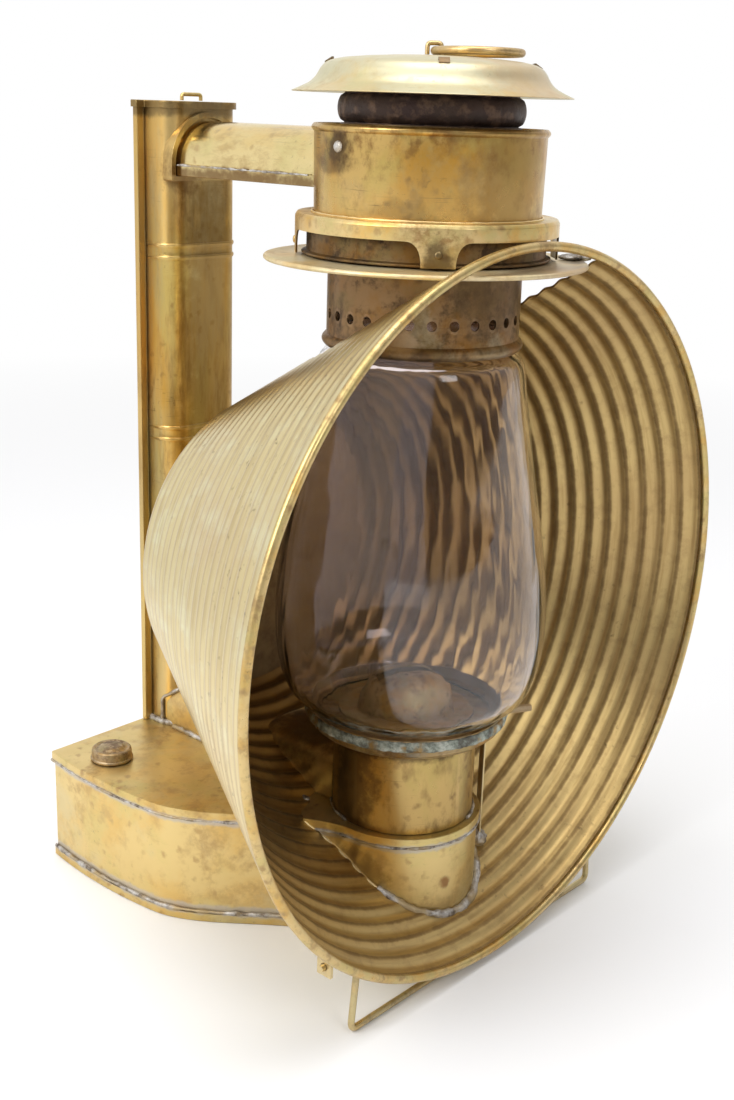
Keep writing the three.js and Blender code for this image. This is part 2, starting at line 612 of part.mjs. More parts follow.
function makeBurner() {
  const wall = burner.chamber;
  const tube = pipe(wall - sheet, wall, topFace + gap, plateLevel - gap, roundSteps);
  const airIn = duct(lowerArch(-gap - sheet), wall / 2, wall + overrun);
  const spindleHole = spindleRod(spindle.radius + gap, 0, wall + overrun).rotateZ(burnerGroup.rotation.z);
  addPiece('burner_chamber', cut(tube, airIn, spindleHole), brass);

  const floor = plateLevel + sheet;
  const hole = wall - sheet;
  const step = wall + gap + globePlate.collarWall;
  const radius = plateInside + globePlate.rimWall;
  const stepBottom = plateLevel - globePlate.collarHeight;
  addPiece('globe_plate', revolve([[wall + gap, stepBottom], [step, stepBottom], [step, plateLevel],
    [radius, plateLevel], [radius, plateTop], [plateInside, plateTop], [plateInside, floor], [hole, floor],
    [hole, plateLevel], [wall + gap, plateLevel]], wideSteps), verdigris);

  const collarFoot = topFace + gap;
  const collarTop = collarFoot + fuelCollar.height;
  const collarTube = pipe(tubeWidth, tubeWidth + fuelCollar.wall, collarFoot, collarTop, smallSteps);
  addPiece('fuel_collar', collarTube, brownBrass);

  const base = tubeWidth - gap;
  const baseBottom = topFace + burner.baseHeight;
  const cupFloor = baseBottom + burner.cupDepth;
  const cup = burner.cup;
  const tubeHalf = wick.halfThick + wickTube.clear + wickTube.wall + gap;
  const cupTop = deckLevel - gap;
  const cupInside = cup - sheet;
  const cupShell = revolve([[base - sheet, baseBottom], [base, baseBottom], [base, cupFloor], [cup, cupFloor],
    [cup, cupTop], [cupInside, cupTop], [cupInside, cupFloor + sheet], [0, cupFloor + sheet],
    [0, cupFloor], [base - sheet, cupFloor]], smallSteps);
  const slot = box([-tubeWidth, -tubeHalf, baseBottom], [tubeWidth, tubeHalf, deckLevel + overrun]);
  const shaftHole = spindleRod(spindle.radius + gap, 0, wall);
  addPiece('burner_cup', cut(cupShell, slot, shaftHole), brownBrass, burnerGroup);

  const deckRadius = wall - sheet - gap - gap;
  const deckHole = wick.halfThick + dome.slotSideClear;
  const plate = pipe(deckHole, deckRadius, deckLevel, deckLevel + sheet, roundSteps);
  addPiece('burner_deck', cut(plate, slot), brownBrass, burnerGroup);

  const rise = domeShares.map(([r, z]) => [dome.radius * r, domeBottom + dome.height * z]);
  const lower = domeShares.map(([r, z]) => [dome.radius * r - sheet, domeBottom + (dome.height - sheet) * z]);
  const crown = domeBottom + dome.height;
  const cap = revolveSolid([[0, crown - sheet], ...lower.reverse(), ...rise, [0, crown]], smallSteps);
  const [flameX, flameY] = [wick.halfWidth + dome.slotEndClear, wick.halfThick + dome.slotSideClear];
  const flame = box([-flameX, -flameY, domeBottom + dome.height / 2], [flameX, flameY, crown + overrun]);
  addPiece('burner_dome', cut(cap, flame), brownBrass, burnerGroup);
}

function spindleRod(radius, from, to) {
  const away = wick.halfThick + gap + sprocket.radius;
  const shape = new THREE.CylinderGeometry(radius, radius, to - from, tinySteps);
  return shape.rotateZ(Math.PI / 2).translate((from + to) / 2, away, spindleLevel);
}

function makeWick() {
  const { halfWidth, halfThick, floorClear, proud } = wick;
  const strip = box([-halfWidth, -halfThick, floorClear], [halfWidth, halfThick, tubeTop + proud]);
  addPiece('wick', closed(strip), cotton, burnerGroup);
  const [wide, thick] = [halfWidth + wickTube.clear, halfThick + wickTube.clear];
  const bore = box([-wide, -thick, 0], [wide, thick, columnTop]);
  const [outWide, outThick] = [wide + wickTube.wall, thick + wickTube.wall];
  const tubeFoot = topFace + gap + fuelCollar.height + wickTube.footClear;
  const sleeve = box([-outWide, -outThick, tubeFoot], [outWide, outThick, tubeTop]);
  const windows = [];
  for (const side of [-sprocket.offset, sprocket.offset]) {
    const half = sprocket.width / 2 + gap;
    const tall = sprocket.radius + gap;
    const reach = outThick + overrun;
    windows.push(box([side - half, 0, spindleLevel - tall], [side + half, reach, spindleLevel + tall]));
  }
  addPiece('wick_tube', cut(sleeve, bore, ...windows), brownBrass, burnerGroup);

  const star = [];
  for (let i = 0; i < 2 * sprocket.teeth; i += 1) {
    const angle = Math.PI * i / sprocket.teeth;
    const radius = i % 2 === 0 ? sprocket.radius : sprocket.root;
    star.push(new THREE.Vector2(radius * Math.cos(angle), radius * Math.sin(angle)));
  }
  const away = halfThick + gap + sprocket.radius;
  const wheels = [-sprocket.offset, sprocket.offset].map((side) => {
    const depth = sprocket.width;
    const wheel = new THREE.ExtrudeGeometry(new THREE.Shape(star), { depth, bevelEnabled: false });
    return wheel.rotateY(Math.PI / 2).translate(side - depth / 2, away, spindleLevel);
  });
  const { radius, handle, handleReach, handleLength, tailLength } = spindle;
  const handleStart = burner.chamber + handleReach;
  const end = handleStart + handleLength;
  const grip = spindleRod(handle, handleStart, end);
  const shaft = join(spindleRod(radius, -tailLength, end - handle), grip, ...wheels);
  addPiece('wick_spindle', shaft, brass, burnerGroup);
}

// The reflector's ribs, as [radius, depth] points of one face of the sheet
function ribbedFace(side) {
  const { rim, small, back, ribDepth } = reflector;
  const { ribs } = reflectorCounts;
  const start = coneStart;
  const length = Math.hypot(rim - small, back - start);
  const out = [(back - start) / length, (rim - small) / length];
  const points = [];
  for (let i = 0; i <= 2 * ribs; i += 1) {
    const share = i / (2 * ribs);
    const lift = (i % 2 === 0 ? -ribDepth / 2 : ribDepth / 2) + side * sheet / 2;
    const [r, y] = [rim - (rim - small) * share, start + (back - start) * share];
    points.push([r + out[0] * lift, y + out[1] * lift]);
  }
  return points;
}

function makeReflector() {
  const outside = ribbedFace(1);
  const inside = ribbedFace(-1).slice(0, -1);
  const [endRadius, endDepth] = outside[outside.length - 1];
  const back = [[endRadius - sheet, endDepth - sheet], [0, endDepth - sheet]];
  const profile = [[0, endDepth], ...outside.reverse(), ...inside, ...back];
  const points = profile.map(([r, y]) => new THREE.Vector2(r, y));
  const cone = new THREE.LatheGeometry(points, reflectorCounts.steps).translate(0, 0, coneAxis);
  const front = -reflector.frontReach;
  const reach = reflector.rim + overrun;
  const half = globe.widest * shoulderShare[0] + gap;
  const notch = [new THREE.Vector2(-half, front - overrun), new THREE.Vector2(half, front - overrun),
    ...arcPoints(0, 0, half, 0, Math.PI, smallSteps)];
  const bellSpace = prism(notch, coneAxis, coneAxis + reach);
  const tankSpace = prism(offset(outline, gap + sheet + gap), 0, topFace + gap);
  const ductSpace = duct(lowerArch(gap), 0, reflector.back + overrun);
  const chamberSpace = rod(burner.chamber + gap, 0, coneAxis / 2, roundSteps);
  const discBottom = discLevel - disc.fall - disc.beadDepth;
  const discSpace = rod(discRadius + gap, discBottom, coneAxis + reach, wideSteps);
  addPiece('reflector', cut(cone, bellSpace, discSpace, tankSpace, ductSpace, chamberSpace), paleBrass);
  const wire = new THREE.TorusGeometry(reflector.rim, rimWire.radius, rimWire.sides, rimWire.steps);
  addPiece('reflector_rim', closed(wire.rotateX(Math.PI / 2).translate(0, front, coneAxis)), paleBrass);
}

// Radius of the reflector's outer face at a depth, and the height of its underside at a place
function coneRadius(y) {
  const share = (y - coneStart) / (reflector.back - coneStart);
  return reflector.rim - (reflector.rim - reflector.small) * share;
}

function coneBottom(x, y, grow) {
  return coneAxis - Math.sqrt((coneRadius(y) + grow) ** 2 - x ** 2);
}

// A brass strip that holds the globe plate off the reflector, in line with the wick spindle
function makeStrap() {
  const x = burner.chamber + strap.offset;
  const place = new THREE.Vector2(x, 0).rotateAround(new THREE.Vector2(), burnerGroup.rotation.z);
  const facet = coneRadius(place.y) * (1 - Math.cos(Math.PI / reflectorCounts.steps));
  const grow = facet + reflector.ribDepth / 2 + sheet / 2 + gap;
  const bottom = coneBottom(place.x + strap.width, place.y, -grow);
  const half = strap.width / 2;
  const upright = box([x, -half, bottom], [x + sheet, half, plateLevel - gap]);
  addPiece('side_strap', closed(upright), brass, burnerGroup);
}

function makeFoot() {
  const { wire, setback, hang, topInset, tip, corner } = foot;
  const pivotY = setback - reflector.frontReach;
  const pivotX = coneRadius(pivotY) * footSideShare;
  const pivotZ = coneBottom(pivotX, pivotY, 0) - hang;
  const kneeZ = pivotZ - footKnee.drop;
  const corners = [[pivotX + tip, pivotZ], [pivotX - topInset, pivotZ], [pivotX - footKnee.inset, kneeZ],
    [pivotX - footBarInset, wire]];
  const left = corners.map(([x, z]) => [-x, pivotY, z]);
  const right = corners.map(([x, z]) => [x, pivotY, z]).reverse();
  const path = [...left, ...right];
  addPiece('foot_wire', bentWire(path, corner, wire, footSteps, 6), brass);
  const grow = reflector.ribDepth / 2 + sheet / 2 + gap;
  for (const [name, side] of [['foot_lug_left', -1], ['foot_lug_right', 1]]) {
    const low = pivotZ - wire - gap - lug.boreWall;
    const high = coneBottom(pivotX + lug.thickness / 2, pivotY, grow);
    const [halfThick, halfWide] = [lug.thickness / 2, lug.width / 2];
    const plate = box([-halfThick, -halfWide, low], [halfThick, halfWide, high + overrun]);
    const place = plate.translate(side * pivotX, pivotY, 0);
    const bore = new THREE.CylinderGeometry(wire + gap, wire + gap, lug.width, tinySteps);
    bore.rotateZ(Math.PI / 2).translate(side * pivotX, pivotY, pivotZ);
    addPiece(name, cut(place, bore, coneSpace(grow)), brass);
  }
}

// The filled space inside the reflector's outer face, grown by a clearance
function coneSpace(grow) {
  const start = -reflector.frontReach - overrun;
  const end = reflector.back;
  const points = [[0, start], [coneRadius(start) + grow, start], [coneRadius(end) + grow, end], [0, end]];
  const shape = new THREE.LatheGeometry(points.map(([r, y]) => new THREE.Vector2(r, y)), 2 * wideSteps);
  return shape.translate(0, 0, coneAxis);
}

makeTank();
makeFiller();
makeColumn();
makeUpperDuct();
makeLowerDuct();
makeChamber();
makeSkirt();
makeDisc();
makeBonnet();
makeBell();
makeLiftRing();
makeGlobe();
makeBurner();
makeWick();
makeReflector();
makeStrap();
makeFoot();

export default lantern;
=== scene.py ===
import bpy
from math import atan2, cos, pi, radians, sin, sqrt, tan
from mathutils import Matrix, Vector


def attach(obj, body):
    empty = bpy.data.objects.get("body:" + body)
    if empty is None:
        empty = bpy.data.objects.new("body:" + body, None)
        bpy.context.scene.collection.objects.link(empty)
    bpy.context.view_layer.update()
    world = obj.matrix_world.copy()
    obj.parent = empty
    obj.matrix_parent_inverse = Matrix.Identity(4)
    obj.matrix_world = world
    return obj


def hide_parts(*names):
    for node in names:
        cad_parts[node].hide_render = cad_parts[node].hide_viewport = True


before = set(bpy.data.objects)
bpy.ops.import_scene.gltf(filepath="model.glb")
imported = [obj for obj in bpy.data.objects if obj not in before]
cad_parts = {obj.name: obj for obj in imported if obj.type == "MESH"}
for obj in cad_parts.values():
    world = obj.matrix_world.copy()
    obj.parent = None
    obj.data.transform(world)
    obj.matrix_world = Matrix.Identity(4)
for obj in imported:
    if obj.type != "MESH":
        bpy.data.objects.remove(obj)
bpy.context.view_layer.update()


# Camera: it stands a little above the lantern and to the left of its open front, turned slightly about its
# own axis. The frame is 734 by 1100, so the focal length is given for the long side.
def vec(*parts):
    return Vector(parts)


def put_up(name, data, place, ahead, roll=0):
    """Adds a camera or a lamp that looks along a direction."""
    thing = bpy.data.objects.new(name, data)
    turned_to = ahead.to_track_quat("-Z", "Y").to_matrix().to_4x4()
    thing.matrix_world = Matrix.Translation(place) @ turned_to @ Matrix.Rotation(roll, 4, "Z")
    bpy.context.scene.collection.objects.link(thing)
    return thing


picture_height, focal_pixels = 1100, 1422
lens = bpy.data.cameras.new("camera")
lens.sensor_fit = "VERTICAL"
lens.sensor_height = 36
lens.lens = lens.sensor_height * focal_pixels / picture_height
eye, ahead, roll = vec(-0.4388, -0.365, 0.3483), vec(0.713, 0.6349, -0.2975), radians(1.91)
bpy.context.scene.camera = put_up("camera", lens, eye, ahead, roll)
bpy.context.scene.view_settings.view_transform = "Standard"


# Studio: a pale floor that fades into a white backdrop, three soft boxes, and a room that is white behind the
# lantern and dimmer behind the camera, so that the brass has something dark to reflect.
class Look:
    """The nodes of a material or of the world, with short ways to add to them."""

    def __init__(self, owner, last="Principled BSDF"):
        owner.use_nodes = True
        self.owner, self.tree = owner, owner.node_tree
        self.last = self.tree.nodes[last]
        self.place = self.add("TexCoord", {}, "Object")

    def fill(self, node, inputs):
        """Sets a node's inputs: a socket is linked, anything else becomes the value."""
        for key, value in inputs.items():
            entry = node.inputs[key]
            if isinstance(value, bpy.types.NodeSocket):
                self.tree.links.new(value, entry)
            else:
                entry.default_value = (*value, 1) if entry.type == "RGBA" else value

    def add(self, kind, inputs, output=0, **settings):
        """Adds a node and gives one of its outputs."""
        node = self.tree.nodes.new("ShaderNode" + kind)
        for key, value in settings.items():
            setattr(node, key, value)
        self.fill(node, inputs)
        return node.outputs[output]

    def noise(self, vector, scale, detail=2, rough=0.5, output=0):
        return self.add("TexNoise", {"Vector": vector, "Scale": scale, "Detail": detail, "Roughness": rough},
            output)

    def math(self, operation, *values):
        return self.add("Math", dict(enumerate(values)), operation=operation)

    def vector(self, operation, *values, output=0):
        return self.add("VectorMath", dict(enumerate(values)), output, operation=operation)

    def mask(self, value, low, high, most=1, least=0, smooth=False, clamp=True):
        """Turns a value between two levels into a share between two others."""
        inputs = {"Value": value, "From Min": low, "From Max": high, "To Min": least, "To Max": most}
        return self.add("MapRange", inputs, "Result", interpolation_type="SMOOTHSTEP" if smooth else "LINEAR",
            clamp=clamp)

    def over(self, below, above, share):
        """Lays one colour over another by a share."""
        return self.add("Mix", {0: share, 6: below, 7: above}, 2, data_type="RGBA")

    def ramp(self, value, first, *between, last):
        """Colours a value by stops, each a level and a colour."""
        colors = self.add("ValToRGB", {"Fac": value}, "Color")
        stops = colors.node.color_ramp.elements
        for stop, (level, color) in zip(stops, (first, last)):
            stop.position, stop.color = level, (*color, 1)
        for level, color in between:
            stops.new(level).color = (*color, 1)
        return colors

    def surface(self, color, roughness, bump=None, metal=0, **more):
        """Sets colour, roughness, relief as height, strength and depth, and share of metal."""
        inputs = {"Base Color": color, "Roughness": roughness, "Metallic": metal}
        if bump:
            inputs["Normal"] = self.add("Bump", dict(zip(("Height", "Strength", "Distance"), bump)))
        inputs.update((key.replace("_", " "), value) for key, value in more.items())
        self.fill(self.last, inputs)


def new_finish(name):
    return Look(bpy.data.materials.new(name))


floor_side, floor_level = 60, -0.0002
bpy.ops.mesh.primitive_plane_add(size=floor_side, location=(0, 0, floor_level))
floor = bpy.context.active_object
floor.name = "floor"
ground = new_finish("pale_floor")
ground.surface((0.86, 0.86, 0.87), 0.6, Specular_IOR_Level=0.2)
fade = ground.mask(ground.vector("LENGTH", ground.place, output="Value"), 0.35, 1.5)
ray = ground.add("LightPath", {}).node.outputs
seen = ground.math("MAXIMUM", ray["Is Camera Ray"], ray["Is Glossy Ray"])
seen = ground.math("MAXIMUM", seen, ray["Is Transmission Ray"])
white = ground.add("Emission", {"Color": (1, 1, 1), "Strength": 1})
blend = ground.add("MixShader", {0: ground.math("MULTIPLY", seen, fade), 1: ground.last.outputs[0], 2: white})
ground.fill(ground.tree.nodes["Material Output"], {"Surface": blend})
floor.data.materials.append(ground.owner)

room = Look(bpy.data.worlds.new("room"), "Background")
bpy.context.scene.world = room.owner
toward = room.vector("DOT_PRODUCT", room.place.node.outputs["Generated"], (0.2, 0.88, 0.43), output="Value")
brightness = room.mask(toward, -0.75, 0.5, 1, 0.14, smooth=True)
strength = room.add("Mix", {0: room.add("LightPath", {}, "Is Camera Ray"), 2: brightness, 3: 1})
room.fill(room.last, {"Color": (1, 1, 1), "Strength": strength})

aim = vec(0, 0, 0.18)
for name, place, size, power in (("soft_box_left", (-0.95, 0.15, 0.85), 0.55, 6.5),
        ("soft_box_front", (-0.35, -1.1, 0.9), 0.5, 3.4),
        ("soft_box_top", (-0.1, -0.1, 1.3), 0.8, 6.5)):
    lamp = bpy.data.lights.new(name, "AREA")
    lamp.size, lamp.energy = size, power
    put_up(name, lamp, Vector(place), aim - Vector(place))


# Tank: a bent wall of sheet brass between a top and a bottom tray, whose lips are folded over it and soldered.
# The brass is stained in brown clouds, pitted, scratched, and rubbed bright along its edges.
MM, SHEET, GAP = 0.001, 0.8, 0.3


def old_brass(name, light, dark, blotch=0.5, cloud=24, grain=(1, 1, 1), rough=(0.26, 0.46), spots=0.6, veil=None,
        rubbed=0.35, dents=0.5, dull=0, scratches=0.35, tints=1):
    """Aged sheet brass: clouds of tarnish, mottling, specks, scratches, dents, dull film and rubbed edges."""
    look = new_finish(name)
    place, dirt = look.place, (0.05, 0.032, 0.018)
    drawn = look.add("Mapping", {"Vector": place, "Scale": grain})
    clouds = look.noise(drawn, cloud, 7, 0.6)
    clouds.node.inputs["Distortion"].default_value = 0.5
    both = look.math("MULTIPLY_ADD", look.noise(drawn, cloud * 9, 5, 0.7), 0.45, clouds)
    low = 0.9 - 0.35 * blotch
    color = look.over(light, dark, look.mask(both, low, low + 0.2, smooth=True))
    amber = [c * share for c, share in zip(light, (0.94, 0.74, 0.36))]
    olive = [c * share for c, share in zip(light, (0.82, 0.92, 0.78))]
    for hue, size, least, most in ((amber, 1.1, 0.44, 0.95), (olive, 1.7, 0.46, 0.75), (dark, 4.5, 0.5, 0.6)):
        tint = look.noise(drawn, cloud * size, 6, 0.6)
        color = look.over(color, hue, look.mask(tint, least, least + 0.2, most * tints, smooth=True))
    if veil:
        hue, size, least, most = veil
        cover = look.mask(look.noise(drawn, size, 8, 0.7), least, least + 0.14, most, smooth=True)
        color = look.over(color, hue, cover)
    patch = look.mask(look.noise(place, 37, 4), 0.47, 0.62)
    pits = look.math("MULTIPLY", look.mask(look.noise(place, 420, 4, 0.6), 0.61, 0.74, spots * 0.8), patch)
    wander = look.vector("MULTIPLY_ADD", look.noise(place, 300, output=1), (0.004, 0.004, 0.004), place)
    cells = look.add("TexVoronoi", {"Vector": wander, "Scale": 150}).node.outputs
    freckle = look.math("MULTIPLY", look.mask(cells["Distance"], 0.1, 0.3, 0, spots),
        look.mask(cells["Color"], 0.55, 0.65))
    hair = look.add("Mapping", {"Vector": place, "Rotation": (0.1, 0.3, 0.3), "Scale": (55, 60, 1500)})
    hair = look.noise(hair, 1, 2, 0.6)
    scratch = look.math("MULTIPLY", look.mask(hair, 0.64, 0.72, scratches), patch)
    edge = look.mask(look.add("NewGeometry", {}, "Pointiness"), 0.51, 0.56, rubbed)
    bright = [min(1, c * 1.35 + 0.05) for c in light]
    for hue, share in ((dirt, pits), (dark, freckle), (dirt, scratch), (bright, edge)):
        color = look.over(color, hue, share)
    relief = look.math("MULTIPLY_ADD", look.noise(place, 26, 1), dents * 2, look.math("MULTIPLY", pits, -0.3))
    relief = look.math("MULTIPLY_ADD", hair, 0.04, relief)
    look.surface(color, look.mask(both, 0.5, 0.95, rough[1], rough[0]), (relief, 0.22, 0.0009), 1 - dull,
        Specular_IOR_Level=0.3)
    return look


def mode(name):
    bpy.ops.object.mode_set(mode=name)


def select_only(piece):
    bpy.ops.object.select_all(action="DESELECT")
    piece.select_set(True)
    bpy.context.view_layer.objects.active = piece


def draw_line(name, points, closed=True):
    """Draws a line through points and leaves it selected in edit mode."""
    points = [Vector(point) * MM for point in points]
    bpy.ops.mesh.primitive_plane_add(size=MM, location=points[0])
    line = bpy.context.active_object
    line.name = line.data.name = name
    bpy.ops.object.transform_apply()
    mode("EDIT")
    bpy.ops.mesh.select_mode(type="VERT")
    bpy.ops.mesh.merge(type="CENTER")
    for before, after in zip(points, points[1:] + points[:1] * closed):
        bpy.ops.mesh.extrude_vertices_move(TRANSFORM_OT_translate={"value": after - before})
    bpy.ops.mesh.select_all(action="SELECT")
    if closed:
        bpy.ops.mesh.remove_doubles(threshold=1e-6)
    return line


def eased(points, radius, steps=3, closed=True, least=20):
    """Rounds the corners of an outline, as a tool leaves them, by up to a radius."""
    points = [Vector(point) for point in points]
    done = []
    for i, point in enumerate(points):
        into, out = points[i - 1] - point, points[(i + 1) % len(points)] - point
        turn = pi - into.angle(out)
        if turn < radians(least) or not closed and i in (0, len(points) - 1):
            done.append(point)
            continue
        reach = min(radius * tan(turn / 2), into.length * 0.45, out.length * 0.45)
        start, end = point + into.normalized() * reach, point + out.normalized() * reach
        done += [(1 - t) ** 2 * start + 2 * t * (1 - t) * point + t * t * end for t in portions(steps)]
    return done


def smooth(sharp=32):
    bpy.ops.object.shade_smooth_by_angle(angle=radians(sharp))


def tidy_up(piece, sharp=32):
    """Merges doubles, turns the faces outwards and smooths all but the sharp edges."""
    bpy.ops.mesh.select_all(action="SELECT")
    bpy.ops.mesh.remove_doubles(threshold=2e-6)
    bpy.ops.mesh.normals_make_consistent(inside=False)
    mode("OBJECT")
    select_only(piece)
    smooth(sharp)
    return piece


def pull(along):
    bpy.ops.mesh.extrude_region_move(TRANSFORM_OT_translate={"value": along})


def raised(name, plan, low, high):
    """A plate: its plan is drawn, filled and raised from one level to another."""
    plate = draw_line(name, [(x, y, low) for x, y, *_ in plan])
    bpy.ops.mesh.edge_face_add()
    pull((0, 0, (high - low) * MM))
    return tidy_up(plate)


def pick(piece, kind, chosen):
    """Selects the faces or the vertices that pass a test, and stays in edit mode."""
    select_only(piece)
    mode("EDIT")
    bpy.ops.mesh.select_mode(type=kind)
    bpy.ops.mesh.select_all(action="DESELECT")
    mode("OBJECT")
    for part in piece.data.polygons if kind == "FACE" else piece.data.vertices:
        part.select = chosen(part)
    mode("EDIT")


def apply_modifier(piece, kind, **settings):
    select_only(piece)
    added = piece.modifiers.new(kind.lower(), kind)
    for key, value in settings.items():
        setattr(added, key, value)
    bpy.ops.object.modifier_apply(modifier=added.name)


def soften(piece, width, segments=2, least=50):
    apply_modifier(piece, "BEVEL", width=width * MM, segments=segments, limit_method="ANGLE",
        angle_limit=radians(least))
    smooth()


def hollow(piece, side, depth, ease, segments=2):
    """Makes a plate a tray: its open face is inset by the sheet and pushed in."""
    pick(piece, "FACE", lambda face: face.normal.z * side > 0.5)
    bpy.ops.mesh.inset(thickness=SHEET * MM)
    bpy.ops.transform.translate(value=(0, 0, -side * depth * MM))
    mode("OBJECT")
    soften(piece, ease, segments)
    return piece


def peg(radius, low, high, x=0, y=0, sides=48):
    bpy.ops.mesh.primitive_cylinder_add(vertices=sides, radius=radius * MM, depth=(high - low) * MM,
        location=(x * MM, y * MM, (low + high) / 2 * MM))
    bpy.ops.object.transform_apply()
    return bpy.context.active_object


def cut_away(piece, *cutters, sharp=32):
    """Cuts pieces of waste out of a piece, and throws the cutters away."""
    for cutter in cutters:
        apply_modifier(piece, "BOOLEAN", operation="DIFFERENCE", object=cutter, solver="EXACT")
        bpy.data.objects.remove(cutter)
    smooth(sharp)


def fit(piece, finish, slot, *nodes, body="housing"):
    """Gives a piece its finish, the body that it moves with and the nodes that it stands for."""
    piece.data.materials.clear()
    piece.data.materials.append(finish.owner)
    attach(piece, body)
    if nodes:
        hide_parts(*nodes)


def refinish(finish, *names):
    """Gives a finish to pieces of the frame that keep their own mesh."""
    for name in names:
        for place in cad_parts[name].material_slots:
            place.material = finish.owner


tank_half, tank_back, bulge, shoulder, tongue, tank_top_level = 79, 148, 5, 78, 33.5, 54
waist = ((0.96, 0.64), (1.13, 0.385))


def portions(count):
    return [k / count for k in range(count + 1)]


def tank_plan(grow):
    """The tank's plan, anticlockwise from the left end of its back, moved outwards by a distance."""
    left = [vec(-tank_half - 2 * t * (1 - t) * bulge,
        tank_back + (shoulder - tank_back) * t) for t in portions(18)]
    knots = [vec(-tank_half, shoulder), vec(-tank_half * waist[0][0], shoulder * waist[0][1]),
        vec(-tongue * waist[1][0], shoulder * waist[1][1]), vec(-tongue, 0)]
    left += [(1 - t) ** 3 * knots[0] + 3 * t * (1 - t) ** 2 * knots[1] + 3 * t * t * (1 - t) * knots[2]
        + t ** 3 * knots[3] for t in portions(18)[1:]]
    nose = [vec(-tongue * cos(pi * i / 32), -tongue * sin(pi * i / 32)) for i in range(1, 32)]
    plan = left + nose + [vec(-point.x, point.y) for point in reversed(left)]
    moved = []
    for i, point in enumerate(plan):
        first = (point - plan[i - 1]).normalized()
        second = (plan[(i + 1) % len(plan)] - point).normalized()
        normal = vec(first.y + second.y, -first.x - second.x).normalized()
        moved.append(point + normal * grow / max(normal.x * first.y - normal.y * first.x, 0.5))
    return moved


tank_brass = old_brass("tank_brass", (0.64, 0.48, 0.2), (0.33, 0.18, 0.065), 0.55, 22, spots=0.9,
    rough=(0.3, 0.52), veil=((0.52, 0.46, 0.28), 17, 0.52, 0.65), dull=0.12)
wall = raised("tank_side", tank_plan(0), 1.1, 52.9)
pick(wall, "FACE", lambda face: abs(face.normal.z) > 0.5)
bpy.ops.mesh.delete(type="ONLY_FACE")
mode("OBJECT")
apply_modifier(wall, "SOLIDIFY", thickness=SHEET * MM, offset=-1)
fit(wall, tank_brass, "tank_brass", "tank_wall")

cap_x, cap_y, cap_neck, wick_hole = -64.5, 123.5, 7.6, 13.7
bottom = raised("tank_floor", tank_plan(GAP + SHEET), 0, 4)
fit(hollow(bottom, 1, 4 - SHEET, 0.3), tank_brass, "tank_brass", "tank_bottom")
cover = hollow(raised("tank_cover", tank_plan(GAP + SHEET), 50, tank_top_level), -1, 4 - SHEET, 0.3)
cut_away(cover, peg(cap_neck - SHEET, 40, 60, cap_x, cap_y), peg(wick_hole, 40, 60))
fit(cover, tank_brass, "tank_brass", "tank_top")


# Filler: a soldered neck pipe, and a low screw cap with a leather washer in it. The cap is spun from thicker
# brass, raised in the middle, and has gone dark brown and pitted.
def turned(name, outline, steps=128, middle=(0, 0, 0), axis=(0, 0, 1), sharp=32):
    """A spun piece: half of its section, as radius and height, is drawn and spun."""
    middle, axis = Vector(middle), Vector(axis)
    line = draw_line(name, [middle + vec(r, 0, 0) + axis * h for r, h, *_ in outline], outline[0][0] > 0)
    bpy.ops.mesh.spin(steps=steps, angle=2 * pi, center=middle * MM, axis=axis)
    return tidy_up(line, sharp)


cap_bottom, cap_edge, cap_crown, cap_radius, cap_inside = 54.6, 59.9, 60.6, 9.8, cap_neck + GAP
cap_section = [(0, 59.1), (cap_inside, 59.1), (cap_inside, cap_bottom), (cap_radius, cap_bottom),
    (cap_radius, 55.4), (9.3, 56), (9.2, 58.4), (8.9, 59.4), (8.2, cap_edge), (7, 59.5), (6, 59.7),
    (4.9, 60.4), (3, cap_crown), (0, cap_crown)]
cap_brown = old_brass("cap_brown", (0.42, 0.31, 0.18), (0.18, 0.115, 0.065), 0.6, 90, spots=1,
    rough=(0.34, 0.55), rubbed=0.6, dents=0.8, dull=0.2)
cap = turned("filler_cap_spun", eased(cap_section, 0.5, closed=False), 96, (cap_x, cap_y, 0))
fit(cap, cap_brown, "brown_brass", "filler_cap", body="cap")
refinish(tank_brass, "filler_neck")

washer_leather = new_finish("washer_leather")
pores = washer_leather.noise(washer_leather.place, 900, 4)
hide = washer_leather.over((0.1, 0.055, 0.03), (0.22, 0.13, 0.07), pores)
washer_leather.surface(hide, 0.8, (pores, 0.4, 0.0003))
refinish(washer_leather, "filler_gasket")


# Column: a U of sheet brass with two double beads rolled across it and narrow flanges, closed by a back plate
# that is hemmed around the flanges, and capped by a small lid with a wire staple. Dirt has run down it in
# streaks.
def extruded(name, points, along):
    """A solid whose end face is drawn in space and pushed along a vector."""
    solid = draw_line(name, points)
    bpy.ops.mesh.edge_face_add()
    pull(Vector(along) * MM)
    return tidy_up(solid)


def arc(x, y, radius, start, end, steps):
    """Points on a circle, from one angle to another in degrees."""
    angles = [radians(start + (end - start) * i / steps) for i in range(steps + 1)]
    return [vec(x + radius * cos(angle), y + radius * sin(angle)) for angle in angles]


def mirrored(points):
    return [vec(-point[0], point[1]) for point in reversed(points)]


column_bottom, column_top, column_half, column_corner, flange = 54.3, 347, 21, 9, 3.4
back_face, column_front, flange_face = 149.1, 129.5, 147.2
bead_levels, bead_pitch, bead_width, bead_depth = (200.5, 283.5), 5.4, 2.6, 0.9
column_brass = old_brass("column_brass", (0.58, 0.4, 0.145), (0.25, 0.14, 0.045), 0.56, 34,
    grain=(1, 1, 0.2), spots=0.6, veil=((0.4, 0.33, 0.17), 26, 0.5, 0.6), dull=0.08)


def column_round(grow, end, steps):
    """The column's left front corner, moved outwards by a distance, as far as an angle."""
    return arc(-column_half + column_corner, column_front + column_corner, column_corner + grow, 180, end,
        steps)


